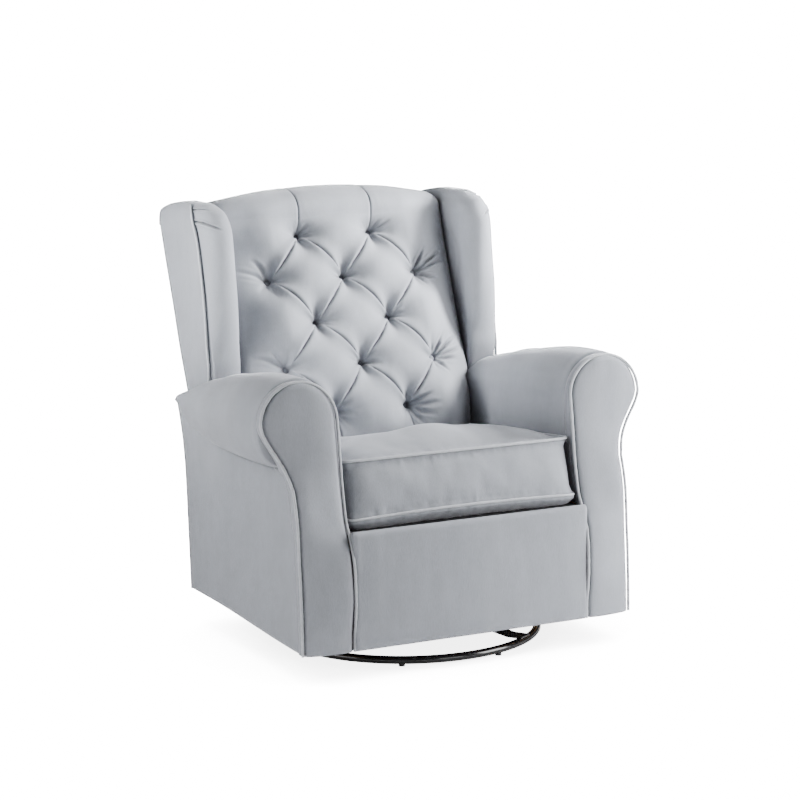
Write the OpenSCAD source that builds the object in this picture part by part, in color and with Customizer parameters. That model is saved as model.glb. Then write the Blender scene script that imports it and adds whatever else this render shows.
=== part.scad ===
// Swivel glider chair: rolled arms, wings, a tufted back and a loose seat cushion,
// hung on four swing links over a round swivel base.
// The origin is on the floor under the swivel. The front is -Y, up is +Z.

/* [Body] */
// Clear width between the arms
seat_w = 566; // [520:1:620]
// Thickness of each arm below its roll
arm_w = 115; // [100:1:135]
// Height of the upholstery's lower edge above the floor
body_bottom = 66; // [64:1:80]
// Distance from the swivel to the foremost line of the front
body_front = 328; // [322:1:350]
// Distance from the swivel to the rear face at its lower edge
body_back = 332; // [326:1:350]
// Height of the seat deck's top
deck_z = 315.5; // [312:0.5:330]

/* [Arms] */
// Radius of the scroll at the front of each arm
roll_r = 87; // [80:1:92]
// Height of the scroll's centre
roll_z = 551; // [540:1:570]
// Height of the padded arm's crown just behind its front
arm_crown_z = 645; // [640:1:660]
// Fall of the crown from the front of the arm to its rear
arm_fall = 115; // [95:1:120]
// Lowest height of the seam under the roll
seam_z = 447; // [440:1:455]
// Rise of that seam from its lowest point to the rear corner
seam_rise = 69; // [50:1:75]
// How far the top of the arm's front lies behind its foremost line
arm_set_back = 81; // [60:1:90]

/* [Back] */
// How far the rear top edge lies behind the lower rear edge
back_lean = 209; // [180:1:225]
// Height of the rear top edge
back_edge_z = 907; // [890:1:925]
// Height of the rolled top of the inside back
back_top_z = 989; // [980:1:1010]
// Depth of the sewn tufts
tuft_depth = 60; // [40:1:65]
// Distance between neighbouring buttons in a row
tuft_pitch = 186; // [170:1:188]
// Distance between rows of buttons
row_pitch = 96; // [85:1:98]
// Height of the lowest row of buttons
row_z = 485; // [475:1:495]
// Width of a covered button
button_d = 22; // [16:1:26]

/* [Wings] */
// Distance from the side of the seat to the outer face of each wing
wing_w = 85; // [75:1:88]
// Height of the wings' top
wing_top_z = 968; // [955:1:980]
// Distance from the swivel to the wing's front piping, low down
wing_front = 249; // [235:1:260]
// How far the wing's padding swells in front of that piping, halfway up
wing_swell = 45; // [20:1:50]

/* [Seat cushion] */
// Gap between the cushion and each arm
cushion_side_gap = 6; // [4:0.5:15]
// Height of the cushion's upper piping at its front
cushion_welt_z = 461; // [450:1:470]
// Height of the cushion's lower piping at its front
cushion_low_welt_z = 346; // [340:1:360]
// Rise of the cushion's crown above its upper piping
cushion_crown = 24; // [15:1:30]
// Fall of the upper piping from the cushion's front to its rear
cushion_fall = 34; // [20:1:40]
// Thickness of the piping
welt_d = 6; // [4:0.5:7]

/* [Base] */
// Outer width of the ring
ring_d = 604; // [560:1:620]
// Thickness of the ring's tube
ring_tube_d = 18; // [16:0.5:22]
// Height of the feet below the ring
foot_h = 4; // [3:0.5:8]
// Width of a foot
foot_d = 14; // [12:1:18]
// Number of feet
foot_count = 8; // [6:1:10]
// Turn of the base under the chair as it stands, in degrees
base_turn = 33; // [0:0.5:89]
// Width of the cross straps
strap_w = 38; // [24:1:44]
// Thickness of the cross straps
strap_t = 4; // [3:0.5:5]
// Height of the hub's top above the floor
hub_top = 58; // [54:1:60]

/* [Swivel] */
// Diameter of a bearing ball
ball_d = 10; // [8:0.5:10]
// Number of bearing balls
ball_count = 16; // [10:1:18]
// Diameter of the circle of balls
ball_circle_d = 92; // [84:1:100]
// Diameter of the centre bolt
king_d = 16; // [12:1:18]

/* [Glider] */
// Length of a swing link between its pivots
link_len = 130; // [120:1:132]
// Height of the upper pivots
hang_z = 260; // [256:1:262]
// Distance from the swivel to the front and rear pivots
pivot_y = 120; // [100:1:130]
// Diameter of the pivot pins
pin_d = 12; // [10:1:13]
// Thickness of links and brackets
plate_t = 5; // [4:0.5:5]
// Width of a link
link_w = 24; // [20:1:26]

/* [Hidden] */

fabric = [0.68, 0.69, 0.72];
piping = [0.72, 0.73, 0.76];
timber = [0.72, 0.56, 0.36];
steel = [0.62, 0.63, 0.65];
black_steel = [0.05, 0.05, 0.05];
nylon = [0.88, 0.88, 0.84];
webbing = [0.20, 0.20, 0.22];

// Clearances and cuts
fit_gap = 0.3;
run_gap = 0.05;
loose_gap = 0.4;
over = 1;
fine = 64;

// Half widths of the body
seat_half = seat_w / 2;
body_half = seat_half + arm_w;
wing_half = seat_half + wing_w;

function mix(a, b, t) = a + (b - a) * t;
function clip(v, low, high) = min(max(v, low), high);
function ease(t) = let (s = clip(t, 0, 1)) s * s * (3 - 2 * s);

// Closed solid through a list of loops with equal numbers of points
module skin(loops) {
    n = len(loops[0]);
    m = len(loops);
    points = [for (l = loops) each l];
    sides = [
        for (i = [0 : m - 2], j = [0 : n - 1])
            let (a = i * n + j, b = i * n + (j + 1) % n)
            each [[a, b + n, b], [a, a + n, b + n]]
    ];
    first = [for (j = [0 : n - 1]) j];
    last = [for (j = [n - 1 : -1 : 0]) (m - 1) * n + j];
    polyhedron(points, concat(sides, [first, last]));
}

// Round cord along a list of points; a closed cord joins its last point to its first
module cord(path, d, closed = false) {
    count = len(path);
    sides = 6;
    function unit(v) = v / norm(v);
    function at(i) = closed ? path[(i + count) % count] : path[clip(i, 0, count - 1)];
    rings = [
        for (i = [0 : count - 1])
            let (
                t = unit(at(i + 1) - at(i - 1)),
                side = unit(cross(t, abs(t[2]) > abs(t[0]) ? [1, 0, 0] : [0, 0, 1])),
                rise = cross(t, side)
            )
            [for (k = [0 : sides - 1])
                path[i] + d / 2 * (cos(360 * k / sides) * side + sin(360 * k / sides) * rise)]
    ];
    steps = closed ? count : count - 1;
    walls = [
        for (i = [0 : steps - 1], k = [0 : sides - 1])
            let (
                a = i * sides + k,
                b = i * sides + (k + 1) % sides,
                c = ((i + 1) % count) * sides + (k + 1) % sides,
                e = ((i + 1) % count) * sides + k
            )
            each [[a, c, b], [a, e, c]]
    ];
    ends = closed ? [] : [
        [for (k = [0 : sides - 1]) k],
        [for (k = [sides - 1 : -1 : 0]) (count - 1) * sides + k]
    ];
    polyhedron([for (r = rings) each r], concat(walls, ends));
}

module both_sides() {
    children();
    mirror([1, 0, 0]) children();
}

module plate_on_x(x, t) {
    translate([x, 0, 0]) rotate([90, 0, 90]) linear_extrude(t) children();
}

module rod_on_x(x, length, r) {
    translate([x, 0, 0]) rotate([0, 90, 0]) cylinder(r = r, h = length, $fn = fine);
}

// Rear face of the body: share of its height, share of its lean
back_lean_shares = [
    [0, 0], [0.2, 0.038], [0.34, 0.067], [0.43, 0.125], [0.48, 0.185], [0.53, 0.265],
    [0.58, 0.35], [0.67, 0.505], [0.78, 0.665], [0.91, 0.868], [1, 1]
];
function back_share(z) = (z - body_bottom) / (back_edge_z - body_bottom);
function back_y(z) = body_back + back_lean * lookup(back_share(z), back_lean_shares);
back_levels = [for (s = back_lean_shares) mix(body_bottom, back_edge_z, s[0])];
// Heights at which a piece between two heights follows the rear face
function levels_between(low, high) =
    concat([low], [for (z = back_levels) if (z > low + over && z < high - over) z], [high]);
// Strip along the rear face, in Y and Z, from one depth behind it to another
module back_strip(low, high, near, far) {
    zs = levels_between(low, high);
    count = len(zs);
    polygon(concat(
        [for (z = zs) [back_y(z) - near, z]],
        [for (i = [count - 1 : -1 : 0]) [back_y(zs[i]) - far, zs[i]]]
    ));
}

// Base
ring_r = ring_d / 2 - ring_tube_d / 2;
ring_z = foot_h + ring_tube_d / 2;
ring_top = foot_h + ring_tube_d;
hub_r = 75;
hub_lip = 1;
hub_low = hub_top - strap_t - 2 * hub_lip;
strap_start_r = 30;
strap_rise_r = 120;
strap_foot_r = 265;
foot_grip = 4;
foot_turn = 27.8;

module ring_shape(extra) {
    translate([0, 0, ring_z])
        rotate_extrude($fn = fine * 2)
            translate([ring_r, 0]) circle(r = ring_tube_d / 2 + extra, $fn = fine);
}

module base_ring() {
    color(black_steel) ring_shape(0);
}

module base_cross() {
    strap_low = hub_low + hub_lip;
    strap_high = hub_top - hub_lip;
    color(black_steel) difference() {
        union() {
            for (i = [0 : 3])
                rotate([0, 0, base_turn + 90 * i])
                    translate([0, strap_w / 2, 0]) rotate([90, 0, 0]) linear_extrude(strap_w)
                        polygon([
                            [strap_start_r, strap_low], [strap_rise_r, strap_low], [strap_foot_r, ring_top],
                            [ring_r + ring_tube_d / 2, ring_top],
                            [ring_r + ring_tube_d / 2, ring_top + strap_t],
                            [strap_foot_r, ring_top + strap_t], [strap_rise_r, strap_high],
                            [strap_start_r, strap_high]
                        ]);
            translate([0, 0, hub_low]) cylinder(r = hub_r, h = hub_top - hub_low, $fn = fine);
        }
        translate([0, 0, hub_low - over])
            cylinder(r = king_d / 2 + run_gap, h = hub_top - hub_low + 2 * over, $fn = fine);
    }
}

module base_feet() {
    color(black_steel) for (i = [0 : foot_count - 1])
        rotate([0, 0, base_turn + foot_turn + 360 * i / foot_count])
            difference() {
                translate([ring_r, 0, 0]) cylinder(d = foot_d, h = foot_h + foot_grip, $fn = fine);
                ring_shape(run_gap);
            }
}

// Swivel bearing
race_t = 7.5;
race_gap = 4;
race_w = 32;
cage_t = 2;
cage_w = 18;
ball_r = ball_d / 2;
ball_z = hub_top + race_t + race_gap / 2;
plate_z = hub_top + 2 * race_t + race_gap;
swivel_plate_w = 170;
bolt_head_h = 6;
bolt_head_r = 14;
washer_t = 2;
nut_h = 8;
bolt_end = 4;

module race(z) {
    difference() {
        translate([0, 0, z]) rotate_extrude($fn = fine)
            translate([ball_circle_d / 2 - race_w / 2, 0]) square([race_w, race_t]);
        translate([0, 0, ball_z]) rotate_extrude($fn = fine)
            translate([ball_circle_d / 2, 0]) circle(r = ball_r + run_gap, $fn = fine);
    }
}

module bearing_lower_race() {
    color(steel) race(hub_top);
}

module bearing_upper_race() {
    color(steel) race(hub_top + race_t + race_gap);
}

module bearing_balls() {
    color(steel) for (i = [0 : ball_count - 1])
        rotate([0, 0, 360 * i / ball_count])
            translate([ball_circle_d / 2, 0, ball_z]) sphere(r = ball_r, $fn = fine);
}

module bearing_cage() {
    color(nylon) difference() {
        translate([0, 0, ball_z - cage_t / 2]) rotate_extrude($fn = fine)
            translate([ball_circle_d / 2 - cage_w / 2, 0]) square([cage_w, cage_t]);
        for (i = [0 : ball_count - 1])
            rotate([0, 0, 360 * i / ball_count])
                translate([ball_circle_d / 2, 0, ball_z - cage_t])
                    cylinder(r = ball_r + fit_gap, h = 2 * cage_t, $fn = fine);
    }
}

module king_bolt() {
    low = hub_low - bolt_head_h;
    top = plate_z + plate_t + fit_gap + washer_t + nut_h + bolt_end;
    color(steel) {
        translate([0, 0, low]) cylinder(r = bolt_head_r, h = bolt_head_h, $fn = 6);
        translate([0, 0, low + bolt_head_h / 2])
            cylinder(d = king_d, h = top - low - bolt_head_h / 2, $fn = fine);
    }
}

module king_nut() {
    low = plate_z + plate_t + fit_gap;
    color(steel) difference() {
        union() {
            translate([0, 0, low]) cylinder(r = bolt_head_r + washer_t, h = washer_t, $fn = fine);
            translate([0, 0, low + washer_t / 2]) cylinder(r = bolt_head_r, h = nut_h + washer_t / 2, $fn = 6);
        }
        translate([0, 0, low - over]) cylinder(r = king_d / 2 + run_gap, h = nut_h + washer_t + 2 * over, $fn = fine);
    }
}

// Carriage that turns on the bearing
tube_w = 25;
tube_wall = 2;
cross_tube_y = 60;
post_w = 30;
board_t = 25;
spacer_t = 9;
link_gap = 1.4;
pin_head_t = 4;
// X positions of the stacked plates at one side, from the seat frame inwards
side_rail_x = seat_half - fit_gap - board_t;
rail_x = side_rail_x - fit_gap - plate_t;
link_x = rail_x - pin_head_t - run_gap - link_gap - plate_t;
post_x = link_x - spacer_t - plate_t;
carriage_half_y = 140;
side_tube_x = post_x - fit_gap - tube_w;
tube_z = plate_z + plate_t;
plate_bolt_x = 55;
plate_bolt_d = 8;
plate_bolt_head_h = 4;
plate_bolt_head_r = 7;
plate_nut_h = 6;

module at_plate_bolts() {
    for (x = [-plate_bolt_x, plate_bolt_x], y = [-cross_tube_y, cross_tube_y])
        translate([x, y, 0]) children();
}

module square_tube(length) {
    difference() {
        cube([length, tube_w, tube_w]);
        translate([-over, tube_wall, tube_wall])
            cube([length + 2 * over, tube_w - 2 * tube_wall, tube_w - 2 * tube_wall]);
    }
}

module plate_bolt_holes(z, h) {
    at_plate_bolts() translate([0, 0, z]) cylinder(r = plate_bolt_d / 2 + run_gap, h = h, $fn = fine);
}

module swivel_plate() {
    color(black_steel) difference() {
        translate([-swivel_plate_w / 2, -swivel_plate_w / 2, plate_z])
            cube([swivel_plate_w, swivel_plate_w, plate_t]);
        translate([0, 0, plate_z - over])
            cylinder(r = king_d / 2 + run_gap, h = plate_t + 2 * over, $fn = fine);
        plate_bolt_holes(plate_z - over, plate_t + 2 * over);
    }
}

module carriage_cross_tubes() {
    half = side_tube_x - fit_gap;
    color(black_steel) difference() {
        for (y = [-cross_tube_y, cross_tube_y])
            translate([-half, y - tube_w / 2, tube_z]) square_tube(2 * half);
        plate_bolt_holes(tube_z - over, tube_w + 2 * over);
    }
}

module carriage_side_tubes() {
    color(black_steel) both_sides()
        translate([side_tube_x + tube_w, -carriage_half_y, tube_z]) rotate([0, 0, 90])
            square_tube(2 * carriage_half_y);
}

module plate_bolts() {
    color(steel) at_plate_bolts() {
        translate([0, 0, plate_z - plate_bolt_head_h])
            cylinder(r = plate_bolt_head_r, h = plate_bolt_head_h, $fn = 6);
        translate([0, 0, plate_z - plate_bolt_head_h / 2])
            cylinder(d = plate_bolt_d, h = plate_bolt_head_h / 2 + plate_t + tube_w + plate_nut_h + over, $fn = fine);
    }
}

module plate_nuts() {
    color(steel) at_plate_bolts() difference() {
        translate([0, 0, tube_z + tube_w]) cylinder(r = plate_bolt_head_r, h = plate_nut_h, $fn = 6);
        translate([0, 0, tube_z + tube_w - over])
            cylinder(r = plate_bolt_d / 2 + run_gap, h = plate_nut_h + 2 * over, $fn = fine);
    }
}

// Glider
pin_head_r = 9;
pin_r = pin_d / 2;
bush_t = 3;
spacer_w = 4;
hang_low_z = hang_z - link_len;

module at_pivots(z) {
    for (y = [-pivot_y, pivot_y]) translate([0, y, z]) children();
}

module hanger_posts() {
    color(black_steel) both_sides() at_pivots(0) difference() {
        union() {
            translate([post_x, -post_w / 2, tube_z]) cube([plate_t, post_w, hang_z - tube_z]);
            translate([0, 0, hang_z]) rod_on_x(post_x, plate_t, post_w / 2);
        }
        translate([0, 0, hang_z]) rod_on_x(post_x - over, plate_t + 2 * over, pin_r + run_gap);
    }
}

module upper_pivot_pins() {
    color(steel) both_sides() at_pivots(hang_z) {
        rod_on_x(post_x - run_gap - pin_head_t, pin_head_t, pin_head_r);
        rod_on_x(post_x - run_gap - pin_head_t / 2, link_x + plate_t - post_x + link_gap + pin_head_t, pin_r);
        rod_on_x(link_x + plate_t + link_gap / 2, pin_head_t - link_gap / 2, pin_head_r);
    }
}

module upper_spacers() {
    color(nylon) both_sides() at_pivots(hang_z) difference() {
        rod_on_x(post_x + plate_t + run_gap, spacer_t - fit_gap, pin_r + spacer_w);
        rod_on_x(post_x, plate_t + spacer_t + over, pin_r + run_gap);
    }
}

module link_pair(y) {
    color(black_steel) both_sides() difference() {
        union() {
            for (z = [hang_low_z, hang_z]) translate([0, y, z]) rod_on_x(link_x, plate_t, link_w / 2 + bush_t);
            translate([link_x, y - link_w / 2, hang_low_z]) cube([plate_t, link_w, link_len]);
        }
        for (z = [hang_low_z, hang_z])
            translate([0, y, z]) rod_on_x(link_x - over, plate_t + 2 * over, pin_r + bush_t);
    }
}

module bush_pair(y, low_gap) {
    color(nylon) both_sides() for (z = [hang_low_z, hang_z]) translate([0, y, z]) difference() {
        rod_on_x(link_x, plate_t, pin_r + bush_t - run_gap);
        rod_on_x(link_x - over, plate_t + 2 * over, pin_r + (z == hang_z ? run_gap : low_gap));
    }
}

module front_links() link_pair(-pivot_y);
module front_link_bushes() bush_pair(-pivot_y, run_gap);
module rear_links() link_pair(pivot_y);
module rear_link_bushes() bush_pair(pivot_y, loose_gap);

// Steel glide rails on the seat frame, and the lower pivot pins
rail_half_y = 190;
rail_h = 40;
rail_tab_w = 36;
seat_frame_top = 295;
seat_frame_h = 90;
seat_frame_low = seat_frame_top - seat_frame_h;
screw_d = 5;
screw_head_r = 5;
screw_head_t = 1.6;
screw_len = 22;
screw_span = 165;

module at_rail_screws() {
    for (i = [-1, -1 / 3, 1 / 3, 1]) translate([0, screw_span * i, seat_frame_low + rail_h / 2]) children();
}

module glide_rail() {
    color(black_steel) difference() {
        union() {
            translate([rail_x, -rail_half_y, seat_frame_low]) cube([plate_t, 2 * rail_half_y, rail_h]);
            at_pivots(hang_low_z) {
                rod_on_x(rail_x, plate_t, rail_tab_w / 2);
                translate([rail_x, -rail_tab_w / 2, 0]) cube([plate_t, rail_tab_w, seat_frame_low - hang_low_z + over]);
            }
        }
        at_pivots(hang_low_z) rod_on_x(rail_x - over, plate_t + 2 * over, pin_r + run_gap);
        at_rail_screws() rod_on_x(rail_x - over, plate_t + 2 * over, screw_d / 2 + run_gap);
    }
}

module glide_rail_left() mirror([1, 0, 0]) glide_rail();
module glide_rail_right() glide_rail();

module lower_pivot_pins() {
    color(steel) both_sides() at_pivots(hang_low_z) {
        rod_on_x(link_x - run_gap - pin_head_t, pin_head_t, pin_head_r);
        rod_on_x(link_x - run_gap - pin_head_t / 2, rail_x + plate_t - link_x + pin_head_t / 2, pin_r);
    }
}

module rail_screws() {
    color(steel) both_sides() at_rail_screws() {
        rod_on_x(rail_x - run_gap - screw_head_t, screw_head_t, screw_head_r);
        rod_on_x(rail_x - run_gap - screw_head_t / 2, screw_len, screw_d / 2);
    }
}

// Hardwood seat frame
front_pad_t = 22;
apron_set_back = 3;
front_rail_y = body_front - apron_set_back - front_pad_t - fit_gap;
rear_rail_y = 292.5;
block_w = 45;
block_inset = 12;

module seat_front_rail() {
    half = seat_half - fit_gap;
    color(timber) translate([-half, -front_rail_y, seat_frame_low]) cube([2 * half, board_t, seat_frame_h]);
}

module seat_rear_rail() {
    half = side_rail_x - fit_gap;
    color(timber) translate([-half, rear_rail_y - board_t, seat_frame_low]) cube([2 * half, board_t, seat_frame_h]);
}

module seat_side_rails() {
    y0 = -front_rail_y + board_t + fit_gap;
    color(timber) both_sides() difference() {
        translate([side_rail_x, y0, seat_frame_low]) cube([board_t, rear_rail_y - y0, seat_frame_h]);
        at_rail_screws() rod_on_x(side_rail_x - over, screw_len, screw_d / 2 + run_gap);
    }
}

module corner_blocks() {
    x = side_rail_x - fit_gap;
    y0 = -front_rail_y + board_t + fit_gap;
    y1 = rear_rail_y - board_t - fit_gap;
    color(timber) both_sides() translate([0, 0, seat_frame_low + block_inset]) linear_extrude(seat_frame_h - 2 * block_inset) {
        polygon([[x, y0], [x - block_w, y0], [x, y0 + block_w]]);
        polygon([[x, y1], [x - block_w, y1], [x, y1 - block_w]]);
    }
}

// Sinuous seat springs
spring_d = 3.6;
spring_count = 4;
spring_span = 130;
spring_half_w = 24;
spring_runs = 13;
clip_w = 8;
clip_play = 1.5;
clip_h = 5.4;
clip_l = 14;
spring_z = seat_frame_top + spring_d / 2 + fit_gap;
spring_y0 = -front_rail_y + board_t / 2;
spring_y1 = rear_rail_y - board_t / 2;

module at_springs() {
    for (i = [0 : spring_count - 1]) translate([spring_span * (i - (spring_count - 1) / 2), 0, 0]) children();
}

function spring_path() =
    let (pitch = (spring_y1 - spring_y0) / spring_runs, r = pitch / 2, turn_steps = 4)
    concat(
        [[0, spring_y0, spring_z]],
        [
            for (i = [0 : spring_runs - 1], k = [0 : turn_steps])
                let (
                    side = i % 2 == 0 ? 1 : -1,
                    a = -90 + 180 * k / turn_steps
                )
                [
                    side * (spring_half_w - r + r * cos(a)),
                    spring_y0 + pitch * (i + 0.5) + r * sin(a),
                    spring_z
                ]
        ],
        [[0, spring_y1, spring_z]]
    );

module seat_springs() {
    color(steel) at_springs() cord(spring_path(), spring_d);
}

module spring_clips() {
    color(nylon) at_springs() for (y = [spring_y0, spring_y1]) difference() {
        translate([-clip_w / 2, y - clip_l / 2, seat_frame_top + run_gap]) cube([clip_w, clip_l, clip_h]);
        translate([-clip_w, y - spring_d / 2 - clip_play, seat_frame_top])
            cube([2 * clip_w, spring_d + 2 * clip_play, spring_d + 2 * fit_gap]);
    }
}

module seat_deck() {
    low = seat_frame_top + clip_h + fit_gap;
    half = seat_half - welt_d / 2 - fit_gap;
    color(webbing) translate([-half, -front_rail_y, low]) cube([2 * half, front_rail_y + rear_rail_y, deck_z - low]);
}

// Base rails and arm frames
board_raise = 14;
bottom_rise = 12;
foot_board_z = body_bottom + board_raise;
base_board_h = 40;
panel_t = 5;
inside_arm_t = 20;
stump_x = seat_half + inside_arm_t + fit_gap;
stump_foot_x = side_rail_x + board_t + fit_gap;
stump_foot_y = -240;
stump_rear = -195;
arm_y0 = -body_front + arm_set_back + front_pad_t;
arm_rail_h = 21.7;
arm_rail_z = seam_z - arm_rail_h - fit_gap;
arm_rear_post_t = 40;
post_gap = 2;
arm_rear_y = back_y(body_bottom) - panel_t - post_gap;

module front_base_rail() {
    half = seat_half - fit_gap;
    color(timber) translate([-half, -front_rail_y, foot_board_z]) cube([2 * half, board_t, base_board_h]);
}

module rear_base_rail() {
    half = body_half - panel_t - arm_rear_post_t - 2 * fit_gap;
    color(timber) translate([-half, arm_rear_y - board_t, foot_board_z]) cube([2 * half, board_t, base_board_h]);
}

module arm_base_rails() {
    x1 = body_half - panel_t - fit_gap;
    y1 = arm_rear_y - arm_rear_post_t - fit_gap;
    y0 = stump_rear + fit_gap;
    color(timber) both_sides() translate([x1 - arm_rear_post_t, y0, foot_board_z])
        cube([arm_rear_post_t, y1 - y0, base_board_h]);
}

module arm_rear_posts() {
    x1 = body_half - panel_t - fit_gap;
    color(timber) both_sides() translate([x1 - arm_rear_post_t, arm_rear_y - arm_rear_post_t, foot_board_z])
        cube([arm_rear_post_t, arm_rear_post_t, arm_rail_z - fit_gap - foot_board_z]);
}

module arm_top_rails() {
    x1 = body_half - panel_t - fit_gap;
    x0 = seat_half + inside_arm_t + fit_gap;
    y0 = stump_rear + fit_gap;
    color(timber) both_sides() translate([x0, y0, arm_rail_z]) cube([x1 - x0, arm_rear_y - y0, arm_rail_h]);
}

// Front of the arm: share of its height, share of the set-back, along the inner and the outer edge
arm_in_shares = [
    [0, 0.12], [0.06, 0.11], [0.13, 0.04], [0.2, 0], [0.27, 0.01], [0.34, 0.07], [0.41, 0.27],
    [0.48, 0.53], [0.55, 0.65], [0.62, 0.74], [0.69, 0.8], [0.76, 0.86], [0.83, 0.93], [0.9, 0.98], [1, 1]
];
arm_out_shares = [
    [0, 0.27], [0.13, 0.28], [0.2, 0.3], [0.27, 0.32], [0.34, 0.36], [0.41, 0.38], [0.48, 0.42],
    [0.55, 0.52], [0.62, 0.68], [0.69, 0.85], [0.76, 0.94], [0.83, 0.96], [0.9, 0.98], [1, 1]
];
// Flare of the outer edge below the scroll's centre: share of the scroll's radius below it, share of the flare
flare_shares = [[0, 1], [0.15, 0.95], [0.35, 0.82], [0.6, 0.6], [0.85, 0.38], [1.1, 0.2], [1.35, 0.08], [1.6, 0]];
waist_share = 0.035;
roll_x = seat_half + roll_r;
roll_flare = roll_x + roll_r - body_half;
arm_top_z = roll_z + roll_r;
function arm_share(z) = (z - body_bottom) / (arm_top_z - body_bottom);
function front_y(z, across) =
    -body_front + arm_set_back * mix(lookup(arm_share(z), arm_in_shares), lookup(arm_share(z), arm_out_shares), across);
function scroll_half(z) = sqrt(max(roll_r * roll_r - (z - roll_z) * (z - roll_z), 0));
function front_x0(z, inset) = z > roll_z ? roll_x - scroll_half(z) + inset : seat_half + inset;
function front_x1(z, inset) = z > roll_z
    ? roll_x + scroll_half(z) - inset
    : body_half - inset + roll_flare * lookup((roll_z - z) / roll_r, flare_shares);

front_pad_swell = 7;
across_shares = [0, 0.08, 0.25, 0.5, 0.75, 0.92, 1];
front_level_shares = [
    0, 0.07, 0.14, 0.21, 0.28, 0.34, 0.4, 0.46, 0.52, 0.58, 0.64, 0.69, 0.73, 0.78, 0.82, 0.85,
    0.885, 0.915, 0.94, 0.96, 0.975, 0.988, 0.996
];
function front_levels() = [for (s = front_level_shares) mix(body_bottom, arm_top_z, s)];
// Rear face of the padded front: flat from side to side, and flush with the roll above the seam
front_back_table = [
    for (z = front_levels())
        [z, z > seam_z ? arm_y0 : max(front_y(z, 0), front_y(z, 1)) + front_pad_t]
];
function front_back_y(z) = lookup(z, front_back_table);
function front_levels_between(low, high) =
    concat([low], [for (z = front_levels()) if (z > low + over && z < high - over) z], [high]);

// Padded front of the right arm
module arm_front_right() {
    loops = [
        for (z = front_levels())
            let (x0 = front_x0(z, 0), x1 = front_x1(z, 0))
            concat(
                [
                    for (s = across_shares)
                        let (swell = front_pad_swell * min(1, (x1 - x0) / roll_r))
                        [mix(x0, x1, s), front_y(z, s) - swell * (1 - pow(2 * s - 1, 4)), z]
                ],
                [[x1, front_back_y(z), z], [x0, front_back_y(z), z]]
            )
    ];
    color(fabric) skin(loops);
}

module arm_front_left() mirror([1, 0, 0]) arm_front_right();

// Timber front of each arm, behind the padding, up to the seam under the roll
module arm_stumps() {
    x1 = body_half - panel_t - fit_gap;
    top = seam_at(roll_level_shares[2]) - fit_gap;
    levels = front_levels_between(foot_board_z, top);
    color(timber) both_sides() {
        plate_on_x(stump_x, x1 - stump_x) polygon(concat(
            [for (z = levels) [front_back_y(z) + fit_gap, z]],
            [[stump_rear, top], [stump_rear, foot_board_z]]
        ));
        translate([stump_foot_x, stump_foot_y, foot_board_z])
            cube([stump_x - stump_foot_x + over, stump_rear - stump_foot_y, deck_z - foot_board_z]);
    }
}

// Rolled arm: share of its length, share of the crown's fall
crown_shares = [
    [0, 0], [0.08, 0.01], [0.2, 0.05], [0.3, 0.12], [0.4, 0.21], [0.5, 0.29], [0.6, 0.42],
    [0.7, 0.53], [0.8, 0.67], [0.88, 0.78], [0.95, 0.9], [1, 1]
];
// Share of its length, share of the seam's rise
seam_shares = [
    [0, 0.17], [0.1, 0.07], [0.2, 0.03], [0.37, 0], [0.52, 0.02], [0.68, 0.15], [0.8, 0.31],
    [0.9, 0.58], [0.96, 0.85], [1, 1]
];
roll_level_shares = [0, 0.04, 0.12, 0.22, 0.33, 0.44, 0.55, 0.65, 0.74, 0.82, 0.89, 0.95, 1];
roll_y1 = back_y(seam_z + seam_rise) - panel_t - fit_gap;
function roll_y(s) = mix(arm_y0 + fit_gap, roll_y1, s);
function crown_at(s) = arm_crown_z - arm_fall * lookup(s, crown_shares);
function seam_at(s) = seam_z + seam_rise * lookup(s, seam_shares);
function roll_mid(s) = (crown_at(s) + seam_at(s)) / 2;
function roll_half_h(s) = (crown_at(s) - seam_at(s)) / 2;
function roll_out(s) = body_half + roll_flare * roll_half_h(s) / roll_half_h(0);
roll_steps = 12;
under_steps = 6;

function roll_loop(s, grow) =
    let (
        y = roll_y(s), zc = roll_mid(s), h = roll_half_h(s) + grow,
        x0 = seat_half - grow, x1 = roll_out(s) + grow, xm = (x0 + x1) / 2
    )
    concat(
        [
            for (i = [0 : roll_steps])
                let (a = 180 * i / roll_steps)
                [xm - (x1 - x0) / 2 * cos(a), y, zc + h * sin(a)]
        ],
        [
            for (i = [1 : under_steps])
                let (a = 90 * i / under_steps)
                [body_half + (x1 - body_half) * cos(a), y, zc - h * sin(a)]
        ],
        [[x0, y, zc - h]]
    );

module roll_solid(grow) {
    skin([for (s = roll_level_shares) roll_loop(s, grow)]);
}

module arm_roll_right() {
    color(fabric) roll_solid(0);
}

module arm_roll_left() mirror([1, 0, 0]) arm_roll_right();

// Padded inner face and flat outer panel of each arm, from Y and Z outlines
module arm_outline(low, rise, rear, reaches_rear) {
    front = [for (z = front_levels_between(low, seam_at(0) - fit_gap)) [front_back_y(z) + fit_gap, z]];
    upper = [for (s = roll_level_shares) if (roll_y(s) < rear(seam_at(s)) - over) [roll_y(s), seam_at(s) - fit_gap]];
    zs = levels_between(low + rise, reaches_rear ? seam_at(1) - fit_gap : upper[len(upper) - 1][1]);
    rear_line = [for (i = [len(zs) - 1 : -1 : 0]) [rear(zs[i]), zs[i]]];
    polygon(concat(front, upper, rear_line));
}

module outside_arms() {
    color(fabric) both_sides() plate_on_x(body_half - panel_t, panel_t)
        arm_outline(body_bottom, bottom_rise, function (z) back_y(z) - panel_t - fit_gap, true);
}

module inside_arms() {
    color(fabric) both_sides() plate_on_x(seat_half, inside_arm_t)
        arm_outline(deck_z + fit_gap, 0, function (z) back_y(z) - back_depth, false);
}

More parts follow.
